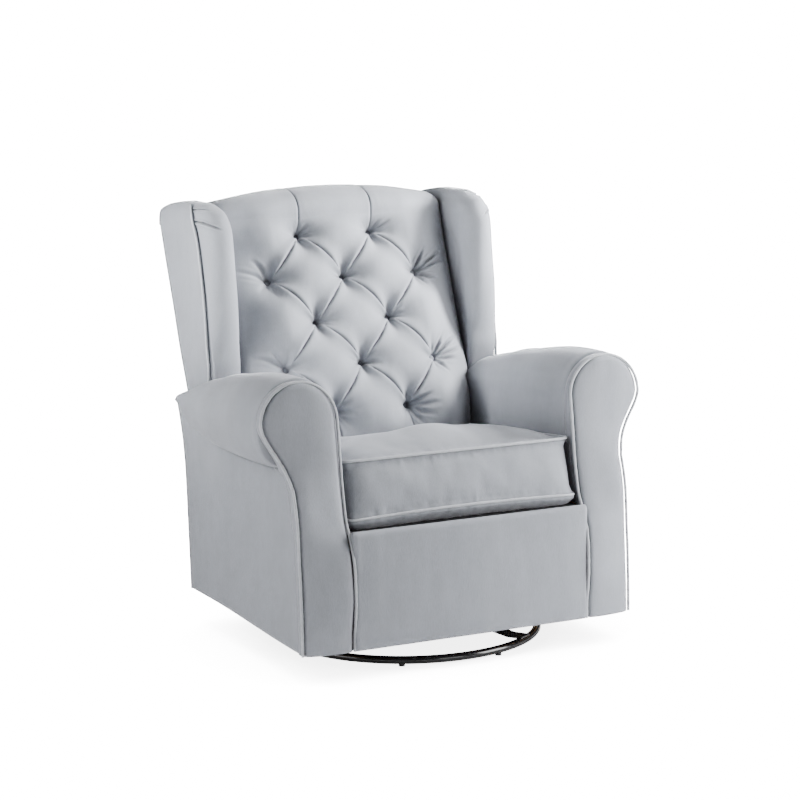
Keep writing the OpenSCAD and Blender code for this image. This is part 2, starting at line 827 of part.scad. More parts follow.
// Apron between the arms
apron_y = body_front - apron_set_back;
apron_round = 9;
apron_top = 321;
module apron() {
    half = seat_half - fit_gap;
    color(fabric) translate([-half, 0, 0]) rotate([90, 0, 90]) linear_extrude(2 * half) {
        polygon([
            [-apron_y, body_bottom], [-apron_y + front_pad_t, body_bottom],
            [-apron_y + front_pad_t, apron_top - apron_round], [-apron_y, apron_top - apron_round]
        ]);
        hull() for (y = [-apron_y + apron_round, -apron_y + front_pad_t - apron_round])
            translate([y, apron_top - apron_round]) circle(r = apron_round, $fn = fine / 2);
    }
}

// Back frame
post_back_t = 40;
post_back_w = 40;
post_inset = 8;
post_back_x = seat_half - post_back_w - post_inset;
post_top_z = 900;
webbing_t = 2.6;
webbing_w = 50;
webbing_count = 5;
webbing_low_z = 470;
webbing_pitch = 95;
back_rail_h = 60;
back_low_rail_z = 400;
// Depth from the rear face to the front of the webbing, and a gap
back_depth = panel_t + post_back_t + webbing_t + 3 * fit_gap;

module back_posts() {
    color(timber) both_sides() plate_on_x(post_back_x, post_back_w)
        back_strip(foot_board_z + base_board_h + fit_gap, post_top_z, panel_t + fit_gap, panel_t + fit_gap + post_back_t);
}

module back_rails() {
    half = post_back_x - fit_gap;
    color(timber) for (z = [back_low_rail_z, post_top_z - back_rail_h])
        plate_on_x(-half, 2 * half) back_strip(z, z + back_rail_h, panel_t + fit_gap, panel_t + fit_gap + post_back_t);
}

module back_webbing() {
    near = panel_t + 2 * fit_gap + post_back_t;
    half = post_back_x + post_back_w;
    color(webbing) for (i = [0 : webbing_count - 1])
        let (z = webbing_low_z + webbing_pitch * i)
        plate_on_x(-half, 2 * half) back_strip(z, z + webbing_w, near, near + webbing_t);
}

// Wings: share of the wing's height, share of the set-back of its front piping
wing_set_back = 134;
wing_front_shares = [
    [0, 0], [0.18, 0], [0.27, 0.04], [0.36, 0.067], [0.45, 0.097], [0.54, 0.134], [0.63, 0.197],
    [0.71, 0.26], [0.8, 0.34], [0.87, 0.44], [0.915, 0.556], [0.96, 0.7], [1, 0.92]
];
// Share of its height, share of the swell in front of the piping
wing_swell_shares = [
    [0, 0.2], [0.2, 0.4], [0.4, 0.85], [0.6, 1.1], [0.77, 1.4], [0.88, 1.7], [0.95, 1.8], [1, 1.3]
];
wing_low_z = 524;
wing_board_t = 12.7;
wing_wrap = 12;
wing_rear_top = 434;
top_seam_drop = 2;
wing_in = 10;
wing_board_top = back_edge_z - top_seam_drop;
wing_steps = 8;
function wing_share(z) = (z - wing_low_z) / (wing_top_z - wing_low_z);
function wing_y(z) = wing_front + wing_set_back * lookup(wing_share(z), wing_front_shares);
function wing_swell_at(z) = wing_swell * lookup(wing_share(z), wing_swell_shares);
// Rear of the wing above the rear top edge: share of the way up, share of the way forward
wing_cap_shares = [[0, 0], [0.5, 0.02], [0.83, 0.42], [1, 1]];
function wing_rear(z) = z <= wing_board_top
    ? back_y(z) - back_depth
    : mix(back_y(back_edge_z), wing_rear_top, lookup((z - back_edge_z) / (wing_top_z - back_edge_z), wing_cap_shares));
wing_level_shares = [0, 0.12, 0.24, 0.36, 0.48, 0.6, 0.7, 0.78, 0.84];
wing_cap_level_shares = [0, 0.2, 0.4, 0.6, 0.78, 0.92, 1];
wing_round = 26;
// The cap starts to round off at its second level
function wing_narrow(z) =
    let (
        start = mix(wing_board_top + fit_gap, wing_top_z, wing_cap_level_shares[1]),
        t = clip((z - start) / (wing_top_z - start), 0, 1)
    )
    wing_round * (1 - sqrt(1 - t * t));

function wing_loop(z) =
    let (
        capped = z > wing_board_top, n = wing_narrow(z),
        x0 = seat_half + wing_in + n, x1 = wing_half - n,
        f = wing_y(z), r = wing_rear(z), xb = capped ? (x0 + x1) / 2 : wing_half - panel_t - wing_board_t - 2 * fit_gap
    )
    concat(
        [
            for (i = [0 : wing_steps])
                let (a = 180 * i / wing_steps)
                [(x0 + x1) / 2 - (x1 - x0) / 2 * cos(a), f - wing_swell_at(z) * sin(a), z]
        ],
        capped
            ? [[x1, min(f + wing_wrap, (f + r) / 2), z], [x1, r, z], [xb, r + over, z], [x0, r, z]]
            : [[x1, f + wing_wrap, z], [xb, f + wing_wrap, z], [xb, r, z], [x0, r, z]]
    );

module wing_right() {
    levels = concat(
        [for (s = wing_level_shares) mix(wing_low_z, wing_top_z, s)],
        [wing_board_top],
        [for (s = wing_cap_level_shares) mix(wing_board_top + fit_gap, wing_top_z, s)]
    );
    color(fabric) difference() {
        skin([for (z = levels) wing_loop(z)]);
        roll_solid(fit_gap);
    }
}

module wing_left() mirror([1, 0, 0]) wing_right();

module wing_outline() {
    top = wing_board_top - fit_gap;
    zs = concat([for (s = wing_level_shares) mix(wing_low_z, wing_top_z, s)], [top]);
    backs = levels_between(wing_low_z, top);
    polygon(concat(
        [for (z = zs) [wing_y(z) + wing_wrap + fit_gap, z]],
        [for (i = [len(backs) - 1 : -1 : 0]) [back_y(backs[i]) - panel_t - fit_gap, backs[i]]]
    ));
}

module wing_boards() {
    color(timber) both_sides() difference() {
        plate_on_x(wing_half - panel_t - fit_gap - wing_board_t, wing_board_t) wing_outline();
        roll_solid(fit_gap);
    }
}

module outside_wings() {
    color(fabric) both_sides() difference() {
        plate_on_x(wing_half - panel_t, panel_t) wing_outline();
        roll_solid(fit_gap);
    }
}

module outside_back() {
    top = wing_board_top - fit_gap;
    color(fabric) {
        plate_on_x(-body_half, 2 * body_half) back_strip(body_bottom + bottom_rise, seam_at(1), 0, panel_t);
        plate_on_x(-wing_half, 2 * wing_half) back_strip(seam_at(1), top, 0, panel_t);
    }
}

// Inside back with its sewn tufts
crown_low_y = 127;
crown_top_y = 347;
crown_top_z = 925;
edge_set_back = 75;
edge_start_share = 0.6;
// Share of the height of the buttoned field, share of the edge's set-back
edge_shares = [[0, 1], [0.25, 0.92], [0.6, 0.7], [0.83, 0.5], [1, 0.3]];
back_cols = 21;
back_rows = 22;
top_arch = 32;
dimple_share = 0.45;
function crown_y(z) = mix(crown_low_y, crown_top_y, clip((z - row_z) / (crown_top_z - row_z), 0, 1));
// How deep the surface lies in the tufts, from 0 on a crown to 1 at a button
function tuft(x, z) =
    let (
        xs = clip(x, -tuft_pitch, tuft_pitch) / tuft_pitch,
        zs = clip(z - row_z, 0, 4 * row_pitch) / (2 * row_pitch),
        p = 180 * (xs + 0.5 + zs), q = 180 * (xs + 0.5 - zs),
        fold = pow(abs(sin(p) * sin(q)), 0.4),
        pit = pow((1 + cos(2 * p)) * (1 + cos(2 * q)) / 4, 2)
    )
    (1 - dimple_share) * (1 - fold) + dimple_share * pit;
function edge_share(z) = clip((z - row_z) / (crown_top_z - row_z), 0, 1);
function side_set_back(x, z) =
    edge_set_back * lookup(edge_share(z), edge_shares) * ease((abs(x) / seat_half - edge_start_share) / (1 - edge_start_share));
function fade(z) = 1 - ease((z - row_z - 4 * row_pitch) / (back_top_z - row_z - 4 * row_pitch));
function inside_back_y(x, z) =
    crown_y(z) + side_set_back(x, z) + tuft_depth * tuft(x, z) * fade(z) * (1 - ease((abs(x) / seat_half - 0.85) / 0.15));
// Rolled top: share of the way over, share of the rise above the front surface's top
top_shares = [[0.12, 0.42], [0.3, 0.78], [0.5, 1], [0.68, 0.93], [0.85, 0.62], [0.95, 0.25]];
function back_loop(x) =
    let (
        low = deck_z + fit_gap,
        top = back_top_z - top_arch * pow(abs(x) / seat_half, 2.4),
        rear_z = wing_board_top,
        front_z = crown_top_z,
        rear_line = concat([rear_z], [for (i = [5 : -1 : 2]) back_levels[i]], [low])
    )
    concat(
        [for (i = [0 : back_rows]) let (z = mix(low, front_z, i / back_rows)) [x, inside_back_y(x, z), z]],
        [
            for (s = top_shares)
                [
                    x,
                    mix(inside_back_y(x, front_z), back_y(back_edge_z), s[0]),
                    mix(mix(front_z, rear_z, s[0]), top, s[1])
                ]
        ],
        [[x, back_y(rear_z), rear_z]],
        [for (z = rear_line) [x, back_y(z) - back_depth, z]]
    );

module back_solid() {
    half = seat_half - fit_gap;
    skin([for (i = [0 : back_cols - 1]) back_loop(mix(half, -half, i / (back_cols - 1)))]);
}

button_h = 7;
back_angle = atan2(crown_top_y - crown_low_y, crown_top_z - row_z);
function button_places() = [
    for (row = [0 : 4], k = [-1, -0.5, 0, 0.5, 1])
        if ((row % 2 == 0) == (abs(k) == 0.5)) [k * tuft_pitch, row_z + row * row_pitch]
];
module at_buttons() {
    for (b = button_places())
        translate([b[0], crown_y(b[1]) + tuft_depth, b[1]]) rotate([90 - back_angle, 0, 0]) children();
}

module back_cushion() {
    color(fabric) difference() {
        back_solid();
        at_buttons() translate([0, 0, -button_h / 2])
            cylinder(d = button_d + 3 * over, h = tuft_depth + button_h, $fn = 7);
    }
}

module back_buttons() {
    color(fabric) at_buttons() translate([0, 0, fit_gap - button_h / 2]) intersection() {
        cylinder(d = button_d, h = button_h, $fn = fine);
        translate([0, 0, button_h - button_d]) sphere(r = button_d, $fn = fine);
    }
}

// Loose seat cushion
cushion_front_top = 258;
cushion_front_low = 290;
cushion_rear = 122;
cushion_low_fall = 15;
cushion_corner_drop = 7;
cushion_bulge = 4;
cushion_square = 14;
cushion_points = 48;
cushion_rise_shares = [0.15, 0.5, 0.85];
core_share = 0.1;
cushion_scale_shares = [0.97, 0.92, 0.8, 0.55, core_share];
function cushion_xy(a, half, y0, y1, s) =
    let (
        b = (y1 - y0) / 2,
        c = cos(a), n = sin(a),
        r = 1 / pow(pow(abs(c) / half, cushion_square) + pow(abs(n) / b, cushion_square), 1 / cushion_square)
    )
    [s * r * c, (y0 + y1) / 2 + s * r * n];
// 0 at a corner, 1 in the middle of a side
function side_middle(a, half, b) =
    let (c = abs(cos(a)) / half, n = abs(sin(a)) / b, m = min(c, n) / max(c, n)) 1 - m * m;
function cushion_front(t) = -mix(cushion_front_low, cushion_front_top, t);
function cushion_loop(t, s, bulge) =
    let (
        half = seat_half - cushion_side_gap - cushion_bulge + bulge,
        y0 = cushion_front(t) - bulge, y1 = cushion_rear - cushion_bulge + bulge,
        b = (y1 - y0) / 2
    )
    [
        for (i = [0 : cushion_points - 1])
            let (
                a = 360 * (i + 0.5) / cushion_points,
                p = cushion_xy(a, half, y0, y1, s),
                m = side_middle(a, half, b),
                back = (p[1] - y0) / (y1 - y0),
                low = cushion_low_welt_z - cushion_corner_drop * (1 - m) - cushion_low_fall * back,
                high = cushion_welt_z - cushion_fall * back,
                swell = 1 - pow(max(s - core_share, 0) / (1 - core_share), 2.6),
                z = t == 0 ? mix(low, deck_z + fit_gap, pow(swell, 0.3)) : mix(low, high, t) + (t == 1 ? cushion_crown * swell : 0)
            )
            [p[0], p[1], z]
    ];

module seat_cushion() {
    low_levels = [for (i = [len(cushion_scale_shares) - 1 : -1 : 0]) cushion_loop(0, cushion_scale_shares[i], 0)];
    sides = concat(
        [cushion_loop(0, 1, 0)],
        [for (t = cushion_rise_shares) cushion_loop(t, 1, cushion_bulge * 4 * t * (1 - t))],
        [cushion_loop(1, 1, 0)]
    );
    high_levels = [for (s = cushion_scale_shares) cushion_loop(1, s, 0)];
    color(fabric) skin(concat(low_levels, sides, high_levels));
}

module cushion_welts() {
    color(piping) for (t = [0, 1]) cord(cushion_loop(t, 1, 0), welt_d, closed = true);
}

// Piping of the arms and wings
module arm_welts() {
    outer = [for (z = front_levels()) [front_x1(z, 0), front_y(z, 1), z]];
    inner = [for (z = front_levels()) [front_x0(z, 0), front_y(z, 0), z]];
    count = len(inner);
    seam = [for (s = roll_level_shares) if (s > 0) [body_half + welt_d / 4, roll_y(s), seam_at(s)]];
    color(piping) both_sides() {
        cord(concat(inner, [for (i = [count - 1 : -1 : 0]) outer[i]]), welt_d);
        cord(seam, welt_d);
    }
}

module wing_welts() {
    zs = [for (s = concat(wing_level_shares, [0.88, 0.92, 0.95, 0.975])) if (s > 0.18) mix(wing_low_z, wing_top_z, s)];
    color(piping) both_sides() cord([for (z = zs) [wing_half - wing_narrow(z), wing_y(z), z]], welt_d);
}

base_ring();
base_cross();
base_feet();
bearing_lower_race();
bearing_balls();
bearing_cage();
king_bolt();
king_nut();
bearing_upper_race();
swivel_plate();
carriage_cross_tubes();
carriage_side_tubes();
plate_bolts();
plate_nuts();
hanger_posts();
upper_pivot_pins();
upper_spacers();
front_links();
front_link_bushes();
rear_links();
rear_link_bushes();
glide_rail_left();
glide_rail_right();
lower_pivot_pins();
rail_screws();
seat_front_rail();
seat_rear_rail();
seat_side_rails();
corner_blocks();
seat_springs();
spring_clips();
seat_deck();
front_base_rail();
rear_base_rail();
arm_base_rails();
arm_stumps();
arm_top_rails();
arm_rear_posts();
back_posts();
back_rails();
back_webbing();
wing_boards();
apron();
arm_front_left();
arm_front_right();
inside_arms();
outside_arms();
arm_roll_left();
arm_roll_right();
arm_welts();
wing_left();
wing_right();
outside_wings();
wing_welts();
outside_back();
back_cushion();
back_buttons();
seat_cushion();
cushion_welts();
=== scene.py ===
"""Dressed scene of the swivel glider chair. Lengths in the shape code are millimetres, front is -Y."""

import math

import bmesh
import bpy
import numpy as np
from mathutils import Matrix


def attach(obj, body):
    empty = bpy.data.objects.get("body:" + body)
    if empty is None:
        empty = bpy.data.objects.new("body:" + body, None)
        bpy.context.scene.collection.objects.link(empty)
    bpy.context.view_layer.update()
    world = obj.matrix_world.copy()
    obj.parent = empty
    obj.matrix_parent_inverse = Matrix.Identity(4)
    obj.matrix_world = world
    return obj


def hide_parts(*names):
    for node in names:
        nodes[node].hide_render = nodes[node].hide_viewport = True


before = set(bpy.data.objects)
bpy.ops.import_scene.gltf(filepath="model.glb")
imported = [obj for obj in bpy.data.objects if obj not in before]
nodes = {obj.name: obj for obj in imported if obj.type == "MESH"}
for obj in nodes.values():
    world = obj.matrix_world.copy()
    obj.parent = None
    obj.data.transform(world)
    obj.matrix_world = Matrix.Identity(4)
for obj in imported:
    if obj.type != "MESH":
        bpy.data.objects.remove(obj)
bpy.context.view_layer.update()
MM = 0.001


def scene_object(name, data):
    thing = bpy.data.objects.new(name, data)
    bpy.context.scene.collection.objects.link(thing)
    return thing


def turned(where, x_axis, y_axis, z_axis):
    """Matrix of a thing at a place, from its own axes."""
    axes = Matrix([list(x_axis), list(y_axis), list(z_axis)])
    return Matrix.Translation(where) @ axes.transposed().to_4x4()


# Camera, fitted to the photo
RIGHT = (0.8956533, -0.44448296, -0.01549425)
UP = (0.08667123, 0.14026452, 0.98631332)
BACK = (-0.43622617, -0.88473768, 0.16415227)
camera_data = bpy.data.cameras.new("camera")
camera_data.lens = 109.27
camera_data.sensor_width = 36
camera = scene_object("camera", camera_data)
camera.matrix_world = turned(np.array([-2384.1, -4812.5, 1426.9]) * MM, RIGHT, UP, BACK)
bpy.context.scene.camera = camera


# Small tools
def clip(v, low, high):
    return np.minimum(np.maximum(v, low), high)


def ease(t):
    t = clip(t, 0, 1)
    return t * t * (3 - 2 * t)


def mix(a, b, t):
    return a + (b - a) * t


def table(points):
    """Smooth monotone curve through the points."""
    x = np.array([p[0] for p in points], float)
    y = np.array([p[1] for p in points], float)
    h = np.diff(x)
    d = np.diff(y) / h
    m = np.zeros(len(x))
    m[0], m[-1] = d[0], d[-1]
    for i in range(1, len(x) - 1):
        if d[i - 1] * d[i] > 0:
            w0, w1 = 2 * h[i] + h[i - 1], h[i] + 2 * h[i - 1]
            m[i] = (w0 + w1) / (w0 / d[i - 1] + w1 / d[i])

    def curve(v):
        v = clip(np.asarray(v, float), x[0], x[-1])
        i = clip(np.searchsorted(x, v, side="right") - 1, 0, len(h) - 1)
        t = (v - x[i]) / h[i]
        a = (1 + 2 * t) * (1 - t) ** 2 * y[i] + t * (1 - t) ** 2 * h[i] * m[i]
        b = t * t * (3 - 2 * t) * y[i + 1] + t * t * (t - 1) * h[i] * m[i + 1]
        return a + b

    return curve


HASH = np.array([73856093, 19349663, 83492791])


def noise(p, size, seed):
    """Smooth noise from -1 to 1 over points p, with features about size millimetres across."""
    q = np.asarray(p, float) / np.asarray(size, float)
    base = np.floor(q).astype(np.int64)
    f = q - base
    f = f * f * f * (f * (6 * f - 15) + 10)
    total = 0.0
    for dx in (0, 1):
        for dy in (0, 1):
            for dz in (0, 1):
                c = (base + np.array([dx, dy, dz])) * HASH
                n = c[..., 0] ^ c[..., 1] ^ c[..., 2] ^ (seed * 2654435)
                n = (n ^ (n >> 13)) * 1274126177
                n = (n ^ (n >> 16)) & 0xFFFF
                w = (
                    (f[..., 0] if dx else 1 - f[..., 0])
                    * (f[..., 1] if dy else 1 - f[..., 1])
                    * (f[..., 2] if dz else 1 - f[..., 2])
                )
                total = total + w * (n / 32767.5 - 1)
    return total


def folds(u, v, lines):
    """Depth of straight creases over a flat map: each line is u0, v0, u1, v1, depth, width."""
    out = np.zeros(np.broadcast(u, v).shape)
    for u0, v0, u1, v1, depth, width in lines:
        du, dv = u1 - u0, v1 - v0
        length = math.hypot(du, dv)
        along = ((u - u0) * du + (v - v0) * dv) / length**2
        off = ((u - u0) * dv - (v - v0) * du) / length
        bend = 0.06 * length * np.sin(np.pi * clip(along, 0, 1))
        off = off + bend * math.sin(u0 * 12.9 + v0 * 4.1)
        taper = ease((along + 0.06) / 0.12) * (1 - ease((along - 0.45) / 0.55))
        groove = bell(off, width) - 0.35 * bell(np.abs(off) - 2.2 * width, width)
        out = out + depth * taper * groove
    return out


def mesh_object(name, points, faces, material):
    mesh = bpy.data.meshes.new(name)
    corners = [tuple(p) for p in np.asarray(points, float) * MM]
    mesh.from_pydata(corners, [], [tuple(int(i) for i in f) for f in faces])
    mesh.validate()
    shape = bmesh.new()
    shape.from_mesh(mesh)
    bmesh.ops.remove_doubles(shape, verts=shape.verts, dist=0.02 * MM)
    bmesh.ops.recalc_face_normals(shape, faces=shape.faces)
    shape.to_mesh(mesh)
    shape.free()
    mesh.polygons.foreach_set("use_smooth", [True] * len(mesh.polygons))
    mesh.materials.append(material)
    return scene_object(name, mesh)


def grid_faces(rows, cols, wrap_rows=False, wrap_cols=False, start=0):
    r = np.arange(rows if wrap_rows else rows - 1)
    c = np.arange(cols if wrap_cols else cols - 1)
    i, j = np.meshgrid(r, c, indexing="ij")
    i, j = i.ravel(), j.ravel()
    i1, j1 = (i + 1) % rows, (j + 1) % cols
    return np.stack([i * cols + j, i * cols + j1, i1 * cols + j1, i1 * cols + j], axis=1) + start


def loft(name, loops, material, mirrored=False):
    """Closed loops of equal length joined into one skin, its ends closed."""
    loops = np.asarray(loops, float)
    if mirrored:
        loops = flipped(loops)
    rows, cols = loops.shape[:2]
    points = [loops.reshape(-1, 3)]
    faces = [tuple(f) for f in grid_faces(rows, cols, wrap_cols=True)]
    count = rows * cols
    for end in (0, rows - 1):
        centre = loops[end].mean(axis=0)
        previous = [end * cols + j for j in range(cols)]
        for share in (0.66, 0.33):
            points.append(mix(centre, loops[end], share))
            this = [count + j for j in range(cols)]
            count += cols
            faces += [
                (previous[j], previous[(j + 1) % cols], this[(j + 1) % cols], this[j]) for j in range(cols)
            ]
            previous = this
        points.append(centre[None])
        faces += [(previous[j], previous[(j + 1) % cols], count) for j in range(cols)]
        count += 1
    return mesh_object(name, np.concatenate(points), faces, material)


def at(x, y, z):
    """Points from their X, Y and Z, each a list or one value for all."""
    return np.stack(np.broadcast_arrays(x, y, z), axis=-1).astype(float)


def flipped(points):
    out = np.array(points, float)
    out[..., 0] *= -1
    return out


def shell(name, face, inner, mirrored=False):
    """A thin panel from the grids of its outer and inner side, closed round its edge."""
    rows, cols = face.shape[:2]
    count = rows * cols
    faces = [tuple(f) for f in grid_faces(rows, cols)]
    faces += [tuple(f[::-1]) for f in grid_faces(rows, cols, start=count)]
    ids = np.arange(count).reshape(rows, cols)
    ring = np.concatenate([ids[0], ids[1:, -1], ids[-1, -2::-1], ids[-2:0:-1, 0]])
    faces += [(a, b, b + count, a + count) for a, b in zip(ring, np.roll(ring, -1))]
    points = np.concatenate([face.reshape(-1, 3), inner.reshape(-1, 3)])
    return mesh_object(name, flipped(points) if mirrored else points, faces, fabric)


def edge_distance(face, axis, foot=True):
    """How far a panel's points lie from its edges, in Z and along the other axis."""
    along, z = face[:, :, axis], face[:, :, 2]
    ways = [z[-1:] - z, along - along[:, :1], along[:, -1:] - along]
    return np.minimum.reduce(ways + [z - z[:1]] if foot else ways)


def bell(distance, width):
    return np.exp(-((distance / width) ** 2))


def resample(path, step, closed=False):
    """Smooth curve through a path, at even steps."""
    path = np.asarray(path, float)
    if closed:
        path = np.vstack([path, path[:1]])
    gaps = np.linalg.norm(np.diff(path, axis=0), axis=1)
    keep = np.concatenate([[True], gaps > 1e-6])
    path = path[keep]
    s = np.concatenate([[0], np.cumsum(np.linalg.norm(np.diff(path, axis=0), axis=1))])
    count = max(4, int(round(s[-1] / step)))
    t = np.linspace(0, s[-1], count + 1)
    out = np.stack([table(list(zip(s, path[:, k])))(t) for k in range(3)], axis=1)
    return out[:-1] if closed else out


def tube(path, radius, sides, closed):
    """Points and faces of a tube round a path, its radius given for each point."""
    n = len(path)
    if closed:
        tangent = np.roll(path, -1, axis=0) - np.roll(path, 1, axis=0)
    else:
        tangent = np.gradient(path, axis=0)
    tangent /= np.linalg.norm(tangent, axis=1)[:, None]
    normal = np.cross(tangent[0], [0.3, 0.5, 0.81])
    normal /= np.linalg.norm(normal)
    normals = []
    for t in tangent:
        normal = normal - t * np.dot(normal, t)
        normal /= np.linalg.norm(normal)
        normals.append(normal)
    normals = np.array(normals)
    binormals = np.cross(tangent, normals)
    if closed:
        twist = math.atan2(np.dot(normals[0], binormals[-1]), np.dot(normals[0], normals[-1]))
        turn_by = (twist * np.arange(n) / n)[:, None]
        normals, binormals = (
            normals * np.cos(turn_by) + binormals * np.sin(turn_by),
            binormals * np.cos(turn_by) - normals * np.sin(turn_by),
        )
    a = (2 * np.pi * np.arange(sides) / sides)[None, :, None]
    ring = normals[:, None] * np.cos(a) + binormals[:, None] * np.sin(a)
    points = (path[:, None] + radius[:, None, None] * ring).reshape(-1, 3)
    faces = [tuple(f) for f in grid_faces(n, sides, wrap_rows=closed, wrap_cols=True)]
    if not closed:
        faces.append(tuple(range(sides)))
        faces.append(tuple((n - 1) * sides + j for j in range(sides)))
    return points, faces


def piping(name, paths, radius=3.2):
    """Welt cord covered in the chair's own fabric, with the slight puckers of its seam; the cover is set
    lighter, a painted highlight.
    """
    all_points, all_faces, count = [], [], 0
    step = 4.0
    for path, closed in paths:
        line = resample(path, step, closed)
        s = np.arange(len(line)) * step
        r = radius * (1 + 0.045 * np.sin(s / 5.1) + 0.03 * np.sin(s / 2.3 + 1))
        points, faces = tube(line, r, 12, closed)
        all_points.append(points)
        all_faces += [tuple(i + count for i in f) for f in faces]
        count += len(points)
    return mesh_object(name, np.concatenate(all_points), all_faces, fabric_welt_painted_highlight)


# Materials
def linear(colour):
    return tuple(((c / 255 + 0.055) / 1.055) ** 2.4 if c > 10 else c / 255 / 12.92 for c in colour) + (1.0,)


def new_material(name):
    material = bpy.data.materials.new(name)
    material.use_nodes = True
    tree = material.node_tree
    return material, tree, tree.nodes["Principled BSDF"]


def feed(tree, made, **values):
    """Sets a node's inputs, or links them where the value is another node's output."""
    for key, value in values.items():
        socket = made.inputs[key.replace("_", " ")]
        if isinstance(value, bpy.types.NodeSocket):
            tree.links.new(value, socket)
        else:
            socket.default_value = value


def node(tree, kind, settings=None, **values):
    made = tree.nodes.new(kind)
    for key, value in (settings or {}).items():
        setattr(made, key, value)
    feed(tree, made, **values)
    return made


def object_noise(tree, scale, detail=3.0, roughness=0.55, stretch=(1, 1, 1), distortion=0.0):
    coords = node(tree, "ShaderNodeTexCoord").outputs["Object"]
    mapped = node(tree, "ShaderNodeMapping", Vector=coords, Scale=stretch).outputs["Vector"]
    made = node(tree, "ShaderNodeTexNoise", Vector=mapped, Scale=scale, Detail=detail, Roughness=roughness)
    feed(tree, made, Distortion=distortion)
    return made.outputs["Fac"]


def maths(tree, kind, a, b, clamp=False):
    made = node(tree, "ShaderNodeMath", {"operation": kind, "use_clamp": clamp})
    for socket, value in ((0, a), (1, b)):
        if isinstance(value, (int, float)):
            made.inputs[socket].default_value = value
        else:
            tree.links.new(value, made.inputs[socket])
    return made.outputs[0]


def weighted(tree, *terms):
    """Sum of sources, each times its weight."""
    parts = [maths(tree, "MULTIPLY", source, weight) for source, weight in terms]
    total = parts[0]
    for part in parts[1:]:
        total = maths(tree, "ADD", total, part)
    return total


def ranged(tree, source, low, high, to_low, to_high):
    """The source's range from low to high brought to another range."""
    made = node(tree, "ShaderNodeMapRange", Value=source, From_Min=low, From_Max=high)
    feed(tree, made, To_Min=to_low, To_Max=to_high)
    return made.outputs["Result"]


def ramped(tree, source, low, high, dark, light):
    """A colour ramp between two shades."""
    ramp = node(tree, "ShaderNodeValToRGB", Fac=source)
    for element, position, shade in zip(ramp.color_ramp.elements, (low, high), (dark, light)):
        element.position = position
        element.color = linear(shade)
    return ramp.outputs["Color"]


def scaled(shade, factor, more=0):
    return [min(255, c * factor + more) for c in shade]


def blend_colours(tree, fac, a, b):
    made = node(tree, "ShaderNodeMix", {"data_type": "RGBA"})
    for name, value in (("Factor", fac), ("A", a), ("B", b)):
        kind = "VALUE" if name == "Factor" else "RGBA"
        socket = [s for s in made.inputs if s.name == name and s.type == kind][0]
        if isinstance(value, tuple):
            socket.default_value = value
        else:
            tree.links.new(value, socket)
    return [s for s in made.outputs if s.type == "RGBA"][0]


def bump(tree, shader, height, distance, strength):
    made = node(tree, "ShaderNodeBump", Height=height, Strength=strength, Distance=distance)
    feed(tree, shader, Normal=made.outputs["Normal"])


def velvet(name, shade, stretch=(1, 1, 0.16), nap=1.0):
    """Brushed pile: a cut nap lying downwards, soft cloudy brush marks, a pale rim sheen, and painted shade
    in creases and hollows.
    """
    material, tree, shader = new_material(name)
    cloud = object_noise(tree, 7.5, 4, 0.55, (1, 1, 0.55))
    marks = object_noise(tree, 46, 3, 0.6, (1, 1, 0.32))
    streak = object_noise(tree, 620, 2, 0.6, stretch)
    pile = object_noise(tree, 1500, 2, 0.7, (1, 1, 0.6))
    tone = weighted(tree, (cloud, 0.42), (marks, 0.26), (streak, 0.32))
    colour = ramped(tree, tone, 0.3, 0.7, scaled(shade, 0.925), scaled(shade, 1.05))
    bent = node(tree, "ShaderNodeNewGeometry").outputs["Pointiness"]
    # Where the surface is concave the colour is painted darker: painted shade in the creases.
    worn, crease_shade = ranged(tree, bent, 0.5, 0.62, 0.0, 0.35), ranged(tree, bent, 0.38, 0.5, 0.5, 0.0)
    colour = blend_colours(tree, worn, colour, linear(scaled(shade, 1.12)))
    colour = blend_colours(tree, crease_shade, colour, linear(scaled(shade, 0.78)))
    # Painted shade from occlusion, in crevices and then in wider hollows: reach in metres, openness from and
    # to, most of the dark shade, its share
    for reach, low, high, most, dark in ((0.014, 0.15, 0.7, 0.7, 0.56), (0.075, 0.3, 0.92, 0.75, 0.7)):
        hollow = node(tree, "ShaderNodeAmbientOcclusion", {"samples": 6}, Distance=reach)
        closed = ranged(tree, hollow.outputs["AO"], low, high, most, 0.0)
        colour = blend_colours(tree, closed, colour, linear(scaled(shade, dark)))
    feed(tree, shader, Base_Color=colour, Roughness=ranged(tree, marks, 0.3, 0.7, 0.78, 0.95))
    feed(tree, shader, Specular_IOR_Level=0.25, Sheen_Weight=0.55, Sheen_Roughness=0.42)
    feed(tree, shader, Sheen_Tint=(0.94, 0.95, 1.0, 1.0))
    bump(tree, shader, weighted(tree, (streak, 0.6), (pile, 0.4), (marks, 0.5)), 0.0009 * nap, 0.55)
    return material


def wood(name, light, dark):
    material, tree, shader = new_material(name)
    grain = object_noise(tree, 14.0, 6.0, 0.62, (1.0, 9.0, 9.0), 0.7)
    pores = object_noise(tree, 420, 3, 0.6, (0.25, 1, 1))
    tone = weighted(tree, (grain, 0.75), (pores, 0.25))
    feed(tree, shader, Base_Color=ramped(tree, tone, 0.32, 0.66, dark, light), Roughness=0.62)
    bump(tree, shader, tone, 0.0008, 0.5)
    return material


